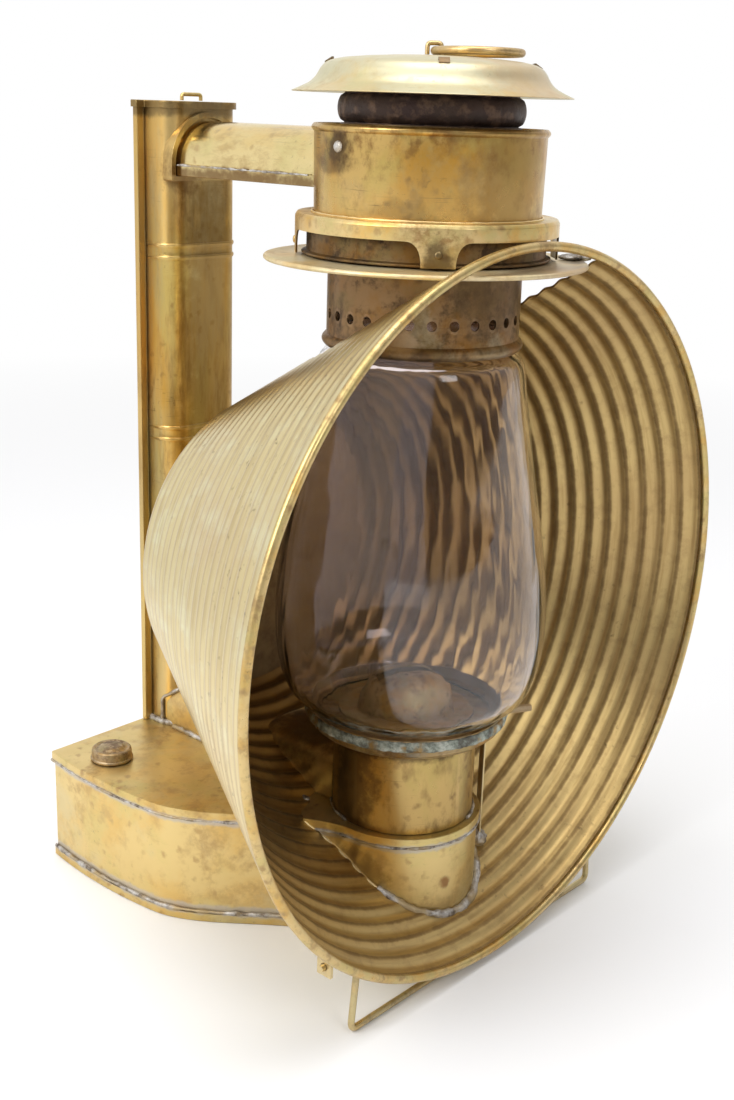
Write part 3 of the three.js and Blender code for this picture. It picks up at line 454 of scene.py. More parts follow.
side_path = [vec(-column_half - flange, flange_face), vec(-column_half, flange_face)]
side_path = [point.to_2d() for point in eased(side_path + column_round(0, 270, 12), 0.8, closed=False)]
levels = []
for level in bead_levels:
    for middle in (level - bead_pitch / 2, level + bead_pitch / 2):
        levels += [(middle + bead_width / 2 * k / 4, bead_depth * cos(pi / 2 * k / 4) ** 2)
            for k in range(-4, 5)]
column = draw_line("column_shell", [(x, y, column_bottom) for x, y in side_path + mirrored(side_path)], False)
height = column_bottom
for level, push in levels + [(column_top, 0)]:
    pull((0, 0, (level - height) * MM))
    height = level
mode("OBJECT")
for level, push in levels:
    pick(column, "VERT", lambda vertex: abs(vertex.co.z / MM - level) < 0.01
        and vertex.co.y / MM < flange_face - 1.5)
    bpy.ops.transform.shrink_fatten(value=push * MM)
    mode("OBJECT")
mode("EDIT")
bpy.ops.mesh.select_all(action="SELECT")
bpy.ops.mesh.normals_make_consistent(inside=False)
mode("OBJECT")
out = column.data.polygons[0]
if (out.center.xy / MM - vec(0, 140)).dot(out.normal.xy) < 0:
    mode("EDIT")
    bpy.ops.mesh.flip_normals()
    mode("OBJECT")
apply_modifier(column, "SOLIDIFY", thickness=SHEET * MM, offset=-1)
smooth()
fit(column, column_brass, "column_brass", "column_body")

hem_edge, hem_front, hem_lap = column_half + flange + GAP, flange_face - GAP, column_half + GAP + SHEET
hem = [Vector(point) for point in (
    (-hem_edge - SHEET, back_face), (-hem_edge - SHEET, hem_front - SHEET), (-hem_lap, hem_front - SHEET),
    (-hem_lap, hem_front), (-hem_edge, hem_front), (-hem_edge, back_face - SHEET))]
back_plate = raised("column_back", eased(hem + mirrored(hem), 0.7), column_bottom, column_top)
fit(back_plate, column_brass, "column_brass", "column_back_plate")

lid_lip, lid_reach = 2.4, GAP + SHEET
lid_half = hem[:2] + [vec(-column_half, hem_front - SHEET)] + column_round(0, 270, 10)
lid_plan = [point - vec(0, lid_reach) if point.y < hem_front - 2 else point for point in lid_half]
lid_plan = [vec(min(point.x - lid_reach, 0), point.y - (lid_reach if 144 < point.y < 148 else 0))
    for point in lid_plan]
column_lid = raised("column_cap", lid_plan + mirrored(lid_plan), column_top + GAP - lid_lip,
    column_top + GAP + SHEET)
fit(hollow(column_lid, -1, lid_lip, 0.35, 3), column_brass, "column_brass", "column_lid")


def rounded(line, radius, fineness, sharp):
    mode("OBJECT")
    bpy.ops.object.convert(target="CURVE")
    line.data.bevel_depth = radius * MM
    line.data.bevel_resolution = fineness
    line.data.use_fill_caps = True
    bpy.ops.object.convert(target="MESH")
    mode("EDIT")
    return tidy_up(line, sharp)


def wire(name, points, radius, corner):
    return rounded(draw_line(name, eased(points, corner, 6, False, 8), False), radius, 3, 40)


def staple(name, side, low, high, radius, corner, middle=(0, 0, 0)):
    """A wire staple that stands on two legs, to either side of a place."""
    side, middle = Vector(side), Vector(middle)
    low, high = middle + vec(0, 0, low), middle + vec(0, 0, high)
    return wire(name, [low - side, high - side, high + side, low + side], radius, corner)


loop = staple("column_loop", (5.5, 0, 0), 348.4, 351, 0.85, 1.6, (0, (column_front + back_face) / 2, 0))
fit(loop, tank_brass, "column_brass", "column_staple")


# Air ducts: a half-round duct with a soldered floor tray leads from the column to the air chamber, and is
# held by a collar at the column; a low, square-shouldered one runs over the tank to the burner.
def arch(half, base, spring):
    """The section of a half-round duct, from right to left."""
    return [(half, base), *arc(0, spring, half, 0, 180, 28), (-half, base)]


def low_arch(grow, base):
    """The section of the low duct, moved outwards by a distance."""
    right = arc(low_half - low_corner, low_top - low_corner, low_corner + grow, 0, 90, 8)
    return [(low_half + grow, base), *right, *mirrored(right), (-low_half - grow, base)]


def lengthwise(name, section, start, length):
    """A solid whose section is drawn at a depth and pushed backwards."""
    return extruded(name, [(x, start, z) for x, z in section], (0, length, 0))


def column_waste(low, high):
    """A cutter of the column's shape."""
    wider, forwards, beside, behind = 1.02, 0.4, 24, 160
    plan = [(x * wider, y - forwards) for x, y in side_path + mirrored(side_path)]
    return raised("waste_column", plan + [(beside, behind), (-beside, behind)], low, high)


drum_radius, duct_half, duct_floor, duct_spring, duct_front, duct_length = 45, 18, 318, 322, 40, 89
drum_space, bead_space, bead_start = drum_radius + GAP, drum_radius + 1.3, 338.7
waste_low, waste_high = 280, 350
duct_brass = old_brass("duct_brass", (0.7, 0.56, 0.27), (0.34, 0.2, 0.07), 0.45, 30,
    grain=(1, 0.5, 1), spots=0.8, veil=((0.62, 0.52, 0.28), 22, 0.52, 0.45), rough=(0.12, 0.26))
outside, inside = (arch(half, duct_floor, duct_spring) for half in (duct_half, duct_half - SHEET))
upper_duct = lengthwise("air_duct", outside + inside[::-1], duct_front, duct_length)
cut_away(upper_duct, peg(drum_space, waste_low, bead_start, sides=128),
    peg(bead_space, bead_start, waste_high, sides=128))
fit(upper_duct, duct_brass, "duct_brass", "upper_duct")
tray_top, tray_lip, tray_half = duct_floor - GAP, duct_floor + 3.4, duct_half + GAP
tray_out, tray_under = tray_half + SHEET, tray_top - SHEET
tray_section = [(-tray_out, tray_under), (tray_out, tray_under), (tray_out, tray_lip), (tray_half, tray_lip),
    (tray_half, tray_top), (-tray_half, tray_top), (-tray_half, tray_lip), (-tray_out, tray_lip)]
duct_tray = lengthwise("air_duct_floor", eased(tray_section, 0.35), duct_front, duct_length)
cut_away(duct_tray, peg(drum_space, waste_low, bead_start, sides=128))
fit(duct_tray, duct_brass, "duct_brass", "upper_duct_floor")
collar_front, collar_width, collar_clear = 127.3, 2.4, 2 * GAP + SHEET
outer = arch(duct_half + collar_clear + collar_width, tray_under - collar_width, duct_spring)
ring = lengthwise("duct_collar", eased(outer, 1.2), collar_front, 6)
bore = arch(duct_half + collar_clear, tray_under - GAP, duct_spring)
cut_away(ring, lengthwise("waste", bore, collar_front - 5, 20), column_waste(waste_low, waste_high))
soften(ring, 0.5)
fit(ring, column_brass, "column_brass", "upper_duct_collar")
low_half, low_top, low_corner, low_front, low_length, well_radius = 21, 73.6, 9, 5, 132, 31
low_section = low_arch(0, column_bottom) + low_arch(-SHEET, column_bottom)[::-1]
low_duct = lengthwise("low_duct", low_section, low_front, low_length)
cut_away(low_duct, peg(well_radius + GAP, 50, 80, sides=96), column_waste(50, 80))
fit(low_duct, tank_brass, "tank_brass", "lower_duct")


# Air chamber: a spun drum with a rolled top edge, and a recessed ring in it that the neck slides through. The
# drum is handled brown and gold. Its stains are listed together with those of the duct, the column and the tank,
# and so are patches of painted shade on the drum's right side, the duct's underside, the column's front face and
# on the low duct inside the reflector.
def blotch(finish, middle, reach, color, most=0.9, stretch=(1, 1, 1)):
    """Paints an uneven blotch around a place, in millimetres, over a finish: stains, and in places painted
    shade.
    """
    away = finish.vector("MULTIPLY", finish.vector("SUBTRACT", finish.place, Vector(middle) * MM), stretch)
    away = finish.vector("LENGTH", away, output="Value")
    away = finish.math("MULTIPLY_ADD", finish.noise(finish.place, 130, 6, 0.65), reach * MM * 1.5, away)
    share = finish.mask(away, reach * MM * 1.15, reach * MM * 1.75, 0, most, smooth=True)
    below = finish.last.inputs["Base Color"].links[0].from_socket
    finish.fill(finish.last, {"Base Color": finish.over(below, color, share)})


drum_bottom, drum_top, drum_bead, roll_depth, drum_tilt = 309.2, 342, 3, 1, 0.5
drum_roll = [(drum_radius + roll_depth * sin(pi * k / 8),
    drum_top - drum_bead + drum_bead * k / 8) for k in range(9)]
drum_section = [(drum_radius - SHEET - drum_tilt, drum_bottom), (drum_radius - drum_tilt, drum_bottom),
    *drum_roll, (drum_radius - SHEET, drum_top)]
drum_brass = old_brass("drum_brass", (0.57, 0.38, 0.13), (0.225, 0.12, 0.042), 0.6, 34,
    grain=(1, 1, 0.8), spots=0.8, rough=(0.22, 0.42), veil=((0.42, 0.31, 0.14), 26, 0.5, 0.6),
    scratches=0.75)
drum_rivet, burnt, umber = (-44.4, 6.9, 334), (0.06, 0.035, 0.02), (0.2, 0.11, 0.045)
for finish, *mark in ((drum_brass, drum_rivet, 9, burnt, 0.85),
        (drum_brass, (-42, 12, 328), 12, burnt, 0.55, (0.8, 0.8, 2.2)),
        (drum_brass, (-20, -40, 344), 7, burnt, 0.6, (0.15, 0.15, 1)),
        # a stain along the duct's bottom seam, and painted shade on the duct's underside
        (duct_brass, (0, 88, 318), 5, umber, 0.85, (0.1, 0.03, 1)),
        # painted shade: the column's front face, on its shaded side, is painted darker brown
        (column_brass, (4, 129.5, 240), 60, (0.29, 0.165, 0.04), 0.6, (2.2, 6, 0.6)),
        (column_brass, (-14, 129.5, 318), 12, (0.19, 0.1, 0.04), 0.7),
        (column_brass, (0, 0, 345), 5, (0.11, 0.075, 0.04), 0.65, (0, 0, 1)),
        # dark grime, and painted shade, on the low duct and the tank top behind the well, inside the reflector
        (tank_brass, (0, 50, 70), 20, umber, 0.7, (0.6, 0.6, 1)),
        (tank_brass, (0, 0, 48.9), 2.6, (0.52, 0.48, 0.44), 0.7, (0, 0, 1)),
        (tank_brass, (0, 0, 5.6), 3.2, (0.52, 0.48, 0.44), 0.7, (0, 0, 1)),
        (tank_brass, (-8, -33, 30), 4, (0.26, 0.11, 0.04), 0.8),
        (tank_brass, (-34, -6, 34), 17, (0.26, 0.15, 0.05), 0.6),
        (tank_brass, (-12, -30, 14), 14, (0.3, 0.18, 0.06), 0.5),
        # painted shade: the drum's right side, turned away from the lamps, is painted darker brown
        (drum_brass, (-4, -45, 326), 30, (0.3, 0.17, 0.055), 0.6, (1, 1, 0.6)),
        (drum_brass, (-40, -20, 311), 10, burnt, 0.25, (0.5, 0.5, 1.4))):
    blotch(finish, *mark)
fit(turned("air_drum", drum_section, 160), drum_brass, "duct_brass", "chamber_drum")
neck_radius = 33.5
plate_hole, plate_level, plate_edge = neck_radius + 2 * GAP, drum_top - 3.8, drum_radius - SHEET - GAP
inner_section = [(plate_hole, plate_level), (plate_edge, plate_level), (plate_edge, plate_level + SHEET),
    (plate_hole + SHEET, plate_level + SHEET), (plate_hole + SHEET, drum_top + GAP),
    (plate_hole, drum_top + GAP)]
inner_brown = old_brass("inner_brown", (0.2, 0.125, 0.055), (0.06, 0.037, 0.02), 0.65, 60,
    rough=(0.4, 0.62), rubbed=0.2, dull=0.3)
fit(turned("drum_ring", eased(inner_section, 0.3)), inner_brown, "brown_brass", "chamber_top")


# Skirt, disc and inner drum: a flanged ring on four legs, cut out between them, stands on a wide disc with a
# beaded edge; a dark drum closes the space behind the legs. All are soldered and riveted together.
skirt_radius, skirt_level, skirt_lip, disc_level = 51.7, 308.4, 302.6, 292.2
skirt_foot, skirt_inside, skirt_start = disc_level + SHEET + GAP, skirt_radius - SHEET, drum_radius - 0.4
skirt_section = [(skirt_start, skirt_level), (skirt_start, skirt_level + 0.5),
    (skirt_inside, skirt_level + 0.5), (skirt_radius, skirt_level - 0.9), (skirt_radius, skirt_foot),
    (skirt_inside, skirt_foot), (skirt_inside, skirt_level - 0.9)]
skirt = turned("skirt_ring", eased(skirt_section, 0.6), 160)
half_skirt, foot_half, top_half = (skirt_radius - 0.4) * sqrt(0.5), 6.4 * sqrt(0.5), 13.5 * sqrt(0.5)
window = [(-half_skirt + foot_half, skirt_foot - 4)]
window += [(-half_skirt + foot_half * (1 - t * t) + top_half * t * t,
    skirt_foot * (1 - t) ** 2 + skirt_lip * (2 * t * (1 - t) + t * t)) for t in portions(8)]
window += mirrored(window)
reach = 60
cut_away(skirt, lengthwise("waste_x", window, -reach, 2 * reach),
    extruded("waste_y", [(-reach, y, z) for y, z in window], (2 * reach, 0, 0)))
soften(skirt, 0.2, least=60)
skirt_brass = old_brass("skirt_brass", (0.68, 0.51, 0.24), (0.34, 0.19, 0.07), 0.45, 45, spots=0.8,
    rubbed=0.6, dull=0.12)
blotch(skirt_brass, (-36, -36, 296), 8, burnt, 0.75)
blotch(skirt_brass, (36, -36, 296), 8, burnt, 0.75)
fit(skirt, skirt_brass, "duct_brass", "skirt")

disc_radius, disc_hole, disc_edge, disc_bead = 64, 38.8, 291, 1.1
roll_middle, roll_half = disc_edge + SHEET / 2, disc_bead / 2 + SHEET / 2
disc_roll = [(disc_radius - disc_bead + disc_bead * sin(angle), roll_middle - roll_half * cos(angle))
    for angle in (radians(degrees) for degrees in range(0, 181, 30))]
disc_section = [(disc_hole, disc_level), (disc_radius - 4.2, disc_edge + 0.1),
    (disc_radius - 3.2, disc_edge + 0.45), *disc_roll, (disc_radius - 3.2, disc_edge + SHEET + 0.3),
    (disc_radius - 4.2, disc_edge + SHEET + 0.15), (disc_hole, disc_level + SHEET)]
disc_brass = old_brass("disc_brass", (0.64, 0.52, 0.31), (0.38, 0.26, 0.13), 0.45, 30, spots=0.7,
    rough=(0.34, 0.55), veil=((0.6, 0.52, 0.34), 26, 0.46, 0.6), dull=0.45, tints=0.7)
blotch(disc_brass, (10, -54, 292), 30, (0.46, 0.31, 0.18), 0.55)
blotch(disc_brass, (46, -44, 292), 14, (0.12, 0.09, 0.07), 0.75)
fit(turned("wide_disc", disc_section, 192), disc_brass, "lid_brass", "disc")
shell_radius, shell_foot, shell_top = 47.1, 49, skirt_level - 1.2
shell_section = [(shell_radius - SHEET, skirt_foot), (shell_foot, skirt_foot), (shell_foot, skirt_foot + SHEET),
    (shell_radius, skirt_foot + 1.4), (shell_radius, shell_top), (shell_radius - SHEET, shell_top)]
fit(turned("inner_shell", eased(shell_section, 0.3)), inner_brown, "brown_brass", "inner_drum")


# Bonnet: a sooty iron neck with a rolled bulge and four windows slides in the drum. Its tabs come up through
# the pressed brass lid and are bent over; below, a drilled and beaded brass bell holds the globe. A ring
# lifts it all.
def block(low, high, turn=0):
    """A square cutter between two corners, turned about the upright axis."""
    low, high = Vector(low), Vector(high)
    bpy.ops.mesh.primitive_cube_add(size=1, location=(low + high) / 2 * MM)
    cutter = bpy.context.active_object
    cutter.scale = (high - low) * MM
    bpy.ops.object.transform_apply()
    cutter.rotation_euler.z = turn
    bpy.ops.object.transform_apply()
    return cutter


def strip(name, profile, angle, width):
    """A strip whose profile stands at an angle about the lantern's axis."""
    outward, across = vec(cos(angle), sin(angle), 0), vec(-sin(angle), cos(angle), 0)
    points = [outward * r + vec(0, 0, z) - across * width / 2 for r, z in profile]
    return extruded(name, points, across * width)


bulge_low, bulge_high, bulge_radius, flange_radius, neck_top, neck_bottom = 342.6, 353.2, 36.2, 39.6, 361, 300.3
bulge_curve = [(neck_radius + (bulge_radius - neck_radius) * sin(pi * k / 12) ** 0.45,
    bulge_low + (bulge_high - bulge_low) * k / 12) for k in range(13)]
neck_section = [(neck_radius - SHEET, neck_bottom), (neck_radius, neck_bottom), *bulge_curve,
    (neck_radius, neck_top - SHEET), (flange_radius, neck_top - SHEET), (flange_radius, neck_top),
    (neck_radius - SHEET, neck_top), *[(r - SHEET, z) for r, z in reversed(bulge_curve)]]
neck = turned("neck_tube", neck_section)
window_half, window_low, window_high, far = 18.5, 353.8, 359.8, 44
cut_away(neck, block((-window_half, -far, window_low), (window_half, far, window_high)),
    block((-far, -window_half, window_low), (far, window_half, window_high)))
neck_iron = new_finish("neck_iron")
soot = neck_iron.noise(neck_iron.place, 70, 8, 0.65)
rust = neck_iron.noise(neck_iron.place, 190, 6, 0.6)
iron = neck_iron.over((0.014, 0.011, 0.012), (0.17, 0.11, 0.085), soot)
iron = neck_iron.over(iron, (0.075, 0.045, 0.045),
    neck_iron.mask(neck_iron.noise(neck_iron.place, 25, 4), 0.4, 0.65))
iron = neck_iron.over(iron, (0.24, 0.15, 0.1), neck_iron.mask(rust, 0.5, 0.64, 0.8))
lumps = neck_iron.math("MULTIPLY_ADD", rust, 0.5, soot)
neck_iron.surface(iron, neck_iron.mask(soot, 0.35, 0.65, 0.7, 0.42), (lumps, 0.7, 0.0016), 0.6)
fit(neck, neck_iron, "smoked_iron", "neck", body="bonnet")

tab_width, tab_radius, tab_end, tab_high, tab_fall = 4, flange_radius - SHEET, flange_radius + 1.8, 366, 1.7
tab_iron = old_brass("tab_iron", (0.22, 0.15, 0.08), (0.05, 0.035, 0.025), 0.6, 120, dull=0.4)
tab_profile = [(tab_radius - SHEET, neck_top - 0.4), (tab_radius, neck_top - 0.4),
    (tab_radius, tab_high - SHEET), (tab_end, tab_high - SHEET - tab_fall), (tab_end, tab_high - tab_fall),
    (tab_radius, tab_high), (tab_radius - SHEET, tab_high)]
slits = []
for k in range(4):
    tab_angle = pi / 4 + k * pi / 2
    tab = strip(f"neck_tab_{k + 1}", eased(tab_profile, 0.3), tab_angle, tab_width)
    fit(tab, tab_iron, "smoked_iron", body="bonnet")
    slits.append(block((tab_radius - SHEET - 0.2, -tab_width / 2 - 0.2, neck_top + 1),
        (tab_radius + 0.2, tab_width / 2 + 0.2, 370), tab_angle))

lid_rim, lid_level, lid_height, lid_crown = 54, 354, 13.6, 367.6
lid_shares = ((1, 0), (0.93, 0.085), (0.87, 0.2), (0.828, 0.36), (0.795, 0.6), (0.765, 0.73), (0.72, 0.81),
    (0.64, 0.875), (0.5, 0.93), (0.36, 0.965), (0.2, 0.99), (0, 1))
lid_top = [(lid_rim * r, lid_level + lid_height * z) for r, z in lid_shares]
lid_under = [(max(r - 0.4, 0), z - SHEET) for r, z in lid_top]
lid_section = lid_under[::-1][:-1] + [(lid_rim - 0.5, lid_level - SHEET),
    (lid_rim, lid_level - 0.5)] + lid_top[1:]
lid = turned("lid_pressed", eased(lid_section, 9, 4, False, 4), 160)
cut_away(lid, *slits)
lid_brass = old_brass("lid_brass", (0.62, 0.54, 0.34), (0.45, 0.34, 0.18), 0.4, 20, spots=0.4,
    rough=(0.3, 0.48), veil=((0.56, 0.53, 0.37), 16, 0.46, 0.8), dents=0.8, dull=0.25,
    scratches=0.2, tints=0.75)
blotch(lid_brass, (2, -46, 358), 26, (0.56, 0.38, 0.22), 0.45)
fit(lid, lid_brass, "lid_brass", "lid", body="bonnet")

bell_inside, bell_radius, bell_bottom, bell_top, bell_bead, bead_height = 37.7, 38.5, 257.31, 301.9, 1.8, 5
bell_roll = [(bell_radius + bell_bead * sin(pi * k / 10) ** 0.8, bell_bottom + bead_height * k / 10)
    for k in range(11)]
mouth, hole_radius, hole_level, hole_count = neck_radius + GAP, 2, 270.61, 28
walls = [hole_level + rise for rise in (-3.2, -2.6, 2.6, 3.2)] + [bell_top - 3]
bell_section = [(bell_inside, bell_bottom), *bell_roll, *[(bell_radius, z) for z in walls],
    (bell_radius, bell_top - 0.6), (bell_radius - 0.6, bell_top), (mouth, bell_top),
    (mouth, bell_top - SHEET), (bell_inside, bell_top - SHEET),
    *[(bell_inside, z) for z in reversed(walls)]]
bell = turned("globe_holder", bell_section, 168)
drills = []
for angle in (2 * pi * (k + 0.5) / hole_count for k in range(hole_count)):
    middle = vec(cos(angle) * bell_radius, sin(angle) * bell_radius, hole_level) * MM
    bpy.ops.mesh.primitive_cylinder_add(vertices=20, radius=hole_radius * MM, depth=4 * MM, location=middle,
        rotation=(0, pi / 2, angle))
    drills.append(bpy.context.active_object)
select_only(drills[0])
for drill in drills:
    drill.select_set(True)
bpy.ops.object.join()
cut_away(bell, drills[0])
bell_brass = old_brass("bell_brass", (0.245, 0.145, 0.065), (0.075, 0.045, 0.022), 0.66, 36, spots=0.8,
    rough=(0.32, 0.52), veil=((0.34, 0.27, 0.16), 30, 0.52, 0.65), dull=0.2, scratches=0.6)
blotch(bell_brass, (-34, -18, 264), 9, (0.5, 0.36, 0.22), 0.6, (1, 1, 1.6))
# painted shade: the bell's right side, below the disc, is painted dark brown
blotch(bell_brass, (-4, -38, 285), 26, (0.12, 0.07, 0.032), 0.6)
blotch(bell_brass, (0, 0, 299), 9, (0.05, 0.03, 0.02), 0.85, (0.02, 0.02, 1))
fit(bell, bell_brass, "brown_brass", "globe_bell", body="bonnet")

ring_radius, ring_wire, ring_level, ring_turn = 16.6, 1.5, 369.41, radians(-45)
along = vec(cos(ring_turn), sin(ring_turn), 0)
ring_section = [(ring_radius + x, z) for x, z in arc(0, 0, ring_wire, 0, 336, 14)]
ring_brass = old_brass("ring_brass", (0.54, 0.38, 0.18), (0.26, 0.17, 0.07), 0.5, 80, rubbed=0.5,
    dull=0.1)
lifting_ring = turned("lifting_ring", ring_section, 96, along * ring_radius + vec(0, 0, ring_level))
fit(lifting_ring, ring_brass, "lid_brass", "lift_ring", body="ring")
loop = staple("ring_loop", along * 2.7, lid_crown + GAP, 372.1, 0.9, 1.5)
fit(loop, ring_brass, "lid_brass", "ring_staple", body="bonnet")


# Globe and burner: a clear glass globe stands in a stepped plate, thick with verdigris, on a round well. In the
# well are the burner's cup and slotted deck, the flat wick in its tube, and the spindle that winds it.
def smooth_line(shares, radius, low, high):
    """A smooth curve through points given as shares of a radius and a height."""
    points = [vec(radius * r, low + (high - low) * z) for r, z in shares]
    line = []
    for i in range(len(points) - 1):
        before, start, end, after = (points[max(i - 1, 0)], points[i], points[i + 1],
            points[min(i + 2, len(points) - 1)])
        line += [0.5 * (2 * start + (end - before) * t + (2 * before - 5 * start + 4 * end - after) * t * t
            + (3 * start - before - 3 * end + after) * t ** 3) for t in portions(6)[:-1]]
    return line + [points[-1]]


def lumpy(piece, size, push, depth=2):
    """Makes a piece uneven, as a crust or as solder that was drawn along a seam."""
    lumps = bpy.data.textures.new(piece.name + "_lumps", "CLOUDS")
    lumps.noise_scale, lumps.noise_depth = size * MM, depth
    apply_modifier(piece, "DISPLACE", texture=lumps, strength=push * MM, mid_level=0.5, texture_coords="LOCAL")


globe_foot, globe_top, globe_wall, globe_widest = 98.1, 263.6, 2.4, 57.5
globe_shares = ((0.68, 0), (0.73, 0.03), (0.89, 0.081), (0.965, 0.148), (1, 0.26), (0.965, 0.42), (0.86, 0.63),
    (0.77, 0.825), (0.72, 0.93), (0.64, 0.962), (0.635, 1))
globe_out = smooth_line(globe_shares, globe_widest, globe_foot, globe_top)
globe_in = []
for i, point in enumerate(globe_out):
    slope = globe_out[min(i + 1, len(globe_out) - 1)] - globe_out[max(i - 1, 0)]
    globe_in.append(point + vec(-slope.y, slope.x).normalized() * globe_wall)
globe_in[0].y, globe_in[-1].y = globe_foot, globe_top
globe = turned("globe_blown", globe_out + globe_in[::-1], 144)
glass = new_finish("glass")
violet = glass.over((0.99, 0.94, 0.92), (0.95, 0.88, 0.88), glass.noise(glass.place, 12))
waves = glass.noise(glass.add("Mapping", {"Vector": glass.place, "Scale": (1, 1, 0.3)}), 60)
glass.surface(violet, glass.mask(glass.noise(glass.place, 55, 6), 0.4, 0.75, 0.12, 0.02), (waves, 0.5, 0.0013),
    Transmission_Weight=1, IOR=1.47)
fit(globe, glass, "clear_glass", "globe", body="globe")

plate_section = [(31.3, 92.9), (36.5, 93), (39.5, 93.8), (41.6, 95.6), (42.4, 97.4), (43.2, 98.6),
    (43.2, 101.4), (42.9, 103.07), (42.475, 103.07), (42.475, 98.4), (41.6, 97.8), (30.2, 97.8),
    (30.2, 97), (31.3, 97)]
crust_section = [(42.9, 98.1), (43.55, 98.4), (43.9, 99.3), (43.85, 100.4), (43.9, 101.4), (43.5, 102.5),
    (42.9, 102.8)]
crust = new_finish("verdigris_crust")
scale = crust.noise(crust.place, 160, 8, 0.7)
greens = crust.ramp(scale, (0.36, (0.1, 0.085, 0.06)), (0.44, (0.16, 0.165, 0.14)), (0.5, (0.27, 0.3, 0.25)),
    (0.58, (0.46, 0.49, 0.42)), last=(0.68, (0.72, 0.72, 0.66)))
bare = crust.mask(crust.noise(crust.place, 60, 6, 0.6), 0.52, 0.6, smooth=True)
lumps = crust.add("TexVoronoi", {"Vector": crust.place, "Scale": 420}, "Distance")
crust.surface(crust.over(greens, (0.36, 0.24, 0.1), bare), crust.mask(bare, 0, 1, 0.42, 0.85),
    (crust.math("MULTIPLY_ADD", lumps, 0.5, scale), 0.7, 0.0011), bare)
seat_brass = old_brass("seat_brass", (0.52, 0.38, 0.2), (0.18, 0.11, 0.055), 0.5, 40, spots=0.8,
    dull=0.3, veil=((0.46, 0.44, 0.36), 60, 0.52, 0.7))
fit(turned("globe_seat", eased(plate_section, 0.45), 160), seat_brass, "verdigris_brass", "globe_plate")
crust_ring = turned("seat_crust", eased(crust_section, 0.4), 320)
lumpy(crust_ring, 2.2, 1.1, 3)
fit(crust_ring, crust, "verdigris_brass")

well_inside, well_bottom, well_top = well_radius - SHEET, 54.3, 96.7
well_section = [(well_inside, well_bottom), (well_radius, well_bottom), (well_radius, well_top),
    (well_inside, well_top)]
well_brass = old_brass("well_brass", (0.5, 0.34, 0.125), (0.16, 0.09, 0.035), 0.66, 26,
    grain=(1, 1, 0.5), spots=0.7, dull=0.12, veil=((0.3, 0.22, 0.1), 24, 0.48, 0.6))
# painted shade: the well's left side, and a band at its top under the globe plate, are painted dark brown
blotch(well_brass, (-31, 2, 75), 17, (0.1, 0.06, 0.03), 0.75, (1, 1, 0.4))
blotch(well_brass, (0, 0, 93), 7, (0.06, 0.035, 0.02), 0.8, (0.02, 0.02, 1))
fit(turned("burner_well", eased(well_section, 0.25)), well_brass, "duct_brass", "burner_chamber")
spindle_turn, dome_low, dome_high, dome_radius = radians(-28), 99.7, 117.9, 20.8
dome_line = smooth_line(((1, 0), (0.985, 0.19), (0.89, 0.51), (0.67, 0.81), (0.385, 0.96), (0, 1)), dome_radius,
    dome_low, dome_high)
dome_line[-1].x = 0
dome_under = [vec(max(point.x - SHEET, 0), point.y - SHEET * 0.6) for point in dome_line]
dome_under[0].y = dome_low
dome = turned("burner_cap", dome_line + dome_under[::-1][1:], 96)
slot_length, slot_width = 27, 6
cut_away(dome, block((-slot_length / 2, -slot_width / 2, dome_low + 4),
    (slot_length / 2, slot_width / 2, dome_high + 4), spindle_turn))
dark_brown = old_brass("burner_brown", (0.62, 0.47, 0.26), (0.25, 0.16, 0.08), 0.45, 50,
    rough=(0.36, 0.58), rubbed=0.25, dull=0.3)
fit(dome, dark_brown, "brown_brass", "burner_dome")
refinish(dark_brown, "burner_cup", "burner_deck", "wick_tube", "fuel_collar")
refinish(cap_brown, "wick_spindle")
cotton = new_finish("woven_cotton")
weave = {"Vector": cotton.place, "Scale": 260, "Distortion": 1.5}
weave = cotton.add("TexWave", weave, 1, bands_direction="DIAGONAL")
cotton.surface(cotton.over((0.55, 0.5, 0.4), (0.8, 0.76, 0.66), weave), 0.9)
refinish(cotton, "wick")

strap_radius, strap_width, strap_low, strap_high = 38, 5, 32, 93.6
near, far = strap_radius - SHEET / 2, strap_radius + SHEET / 2
strap = strip("side_strip", [(near, strap_low), (far, strap_low), (far, strap_high), (near, strap_high)],
    spindle_turn, strap_width)
soften(strap, 0.22)
strap_brass = old_brass("strap_brass", (0.5, 0.4, 0.21), (0.16, 0.105, 0.05), 0.5, 60, rubbed=0.6,
    dull=0.2)
fit(strap, strap_brass, "tank_brass", "side_strap")


# Reflector: one cone of sheet brass with twenty rolled ribs, notched for the bell and the disc above, and for
# the tank, the well and the low duct below. Outside it is a pale, greenish yellow with pink tarnish; inside, its
# grooves are dark with dirt, and the bowl is painted darker towards its deep back as shade.
axis_level, mouth_y, mouth_radius, small_y, small_radius = 153, -52.5, 148, 94, 68
rib_count, rib_swing, rib_points = 20, 0.4, 8
slant = vec(small_radius - mouth_radius, small_y - mouth_y)
outwards = vec(slant.y, -slant.x).normalized()
near, far = [], []
for share in portions(rib_count * rib_points):
    swing = -rib_swing * cos(2 * pi * rib_count * share)
    base = vec(mouth_radius, mouth_y) + slant * share + outwards * swing
    near.append(base + outwards * SHEET / 2)
    far.append(base - outwards * SHEET / 2)
end, corner, middle = near[-1], 0.5, (0, 0, axis_level)
bend = [(end.x - 6, end.y), tuple(end), tuple(near[-3])]
section = [(0, end.y), bend[0], *eased(bend, 1.2, closed=False)[1:-1], *near[:-2][::-1], *far[:-2],
    (end.x - corner, end.y - SHEET), (end.x - 6, end.y - SHEET), (0, end.y - SHEET)]
reflector = turned("reflector_cone", section, 160, middle, (0, 1, 0), 30)
notch_half, notch_top = 44.575, 420
notch = [(notch_half, -90), *arc(0, 0, notch_half, 0, 180, 32), (-notch_half, -90)]
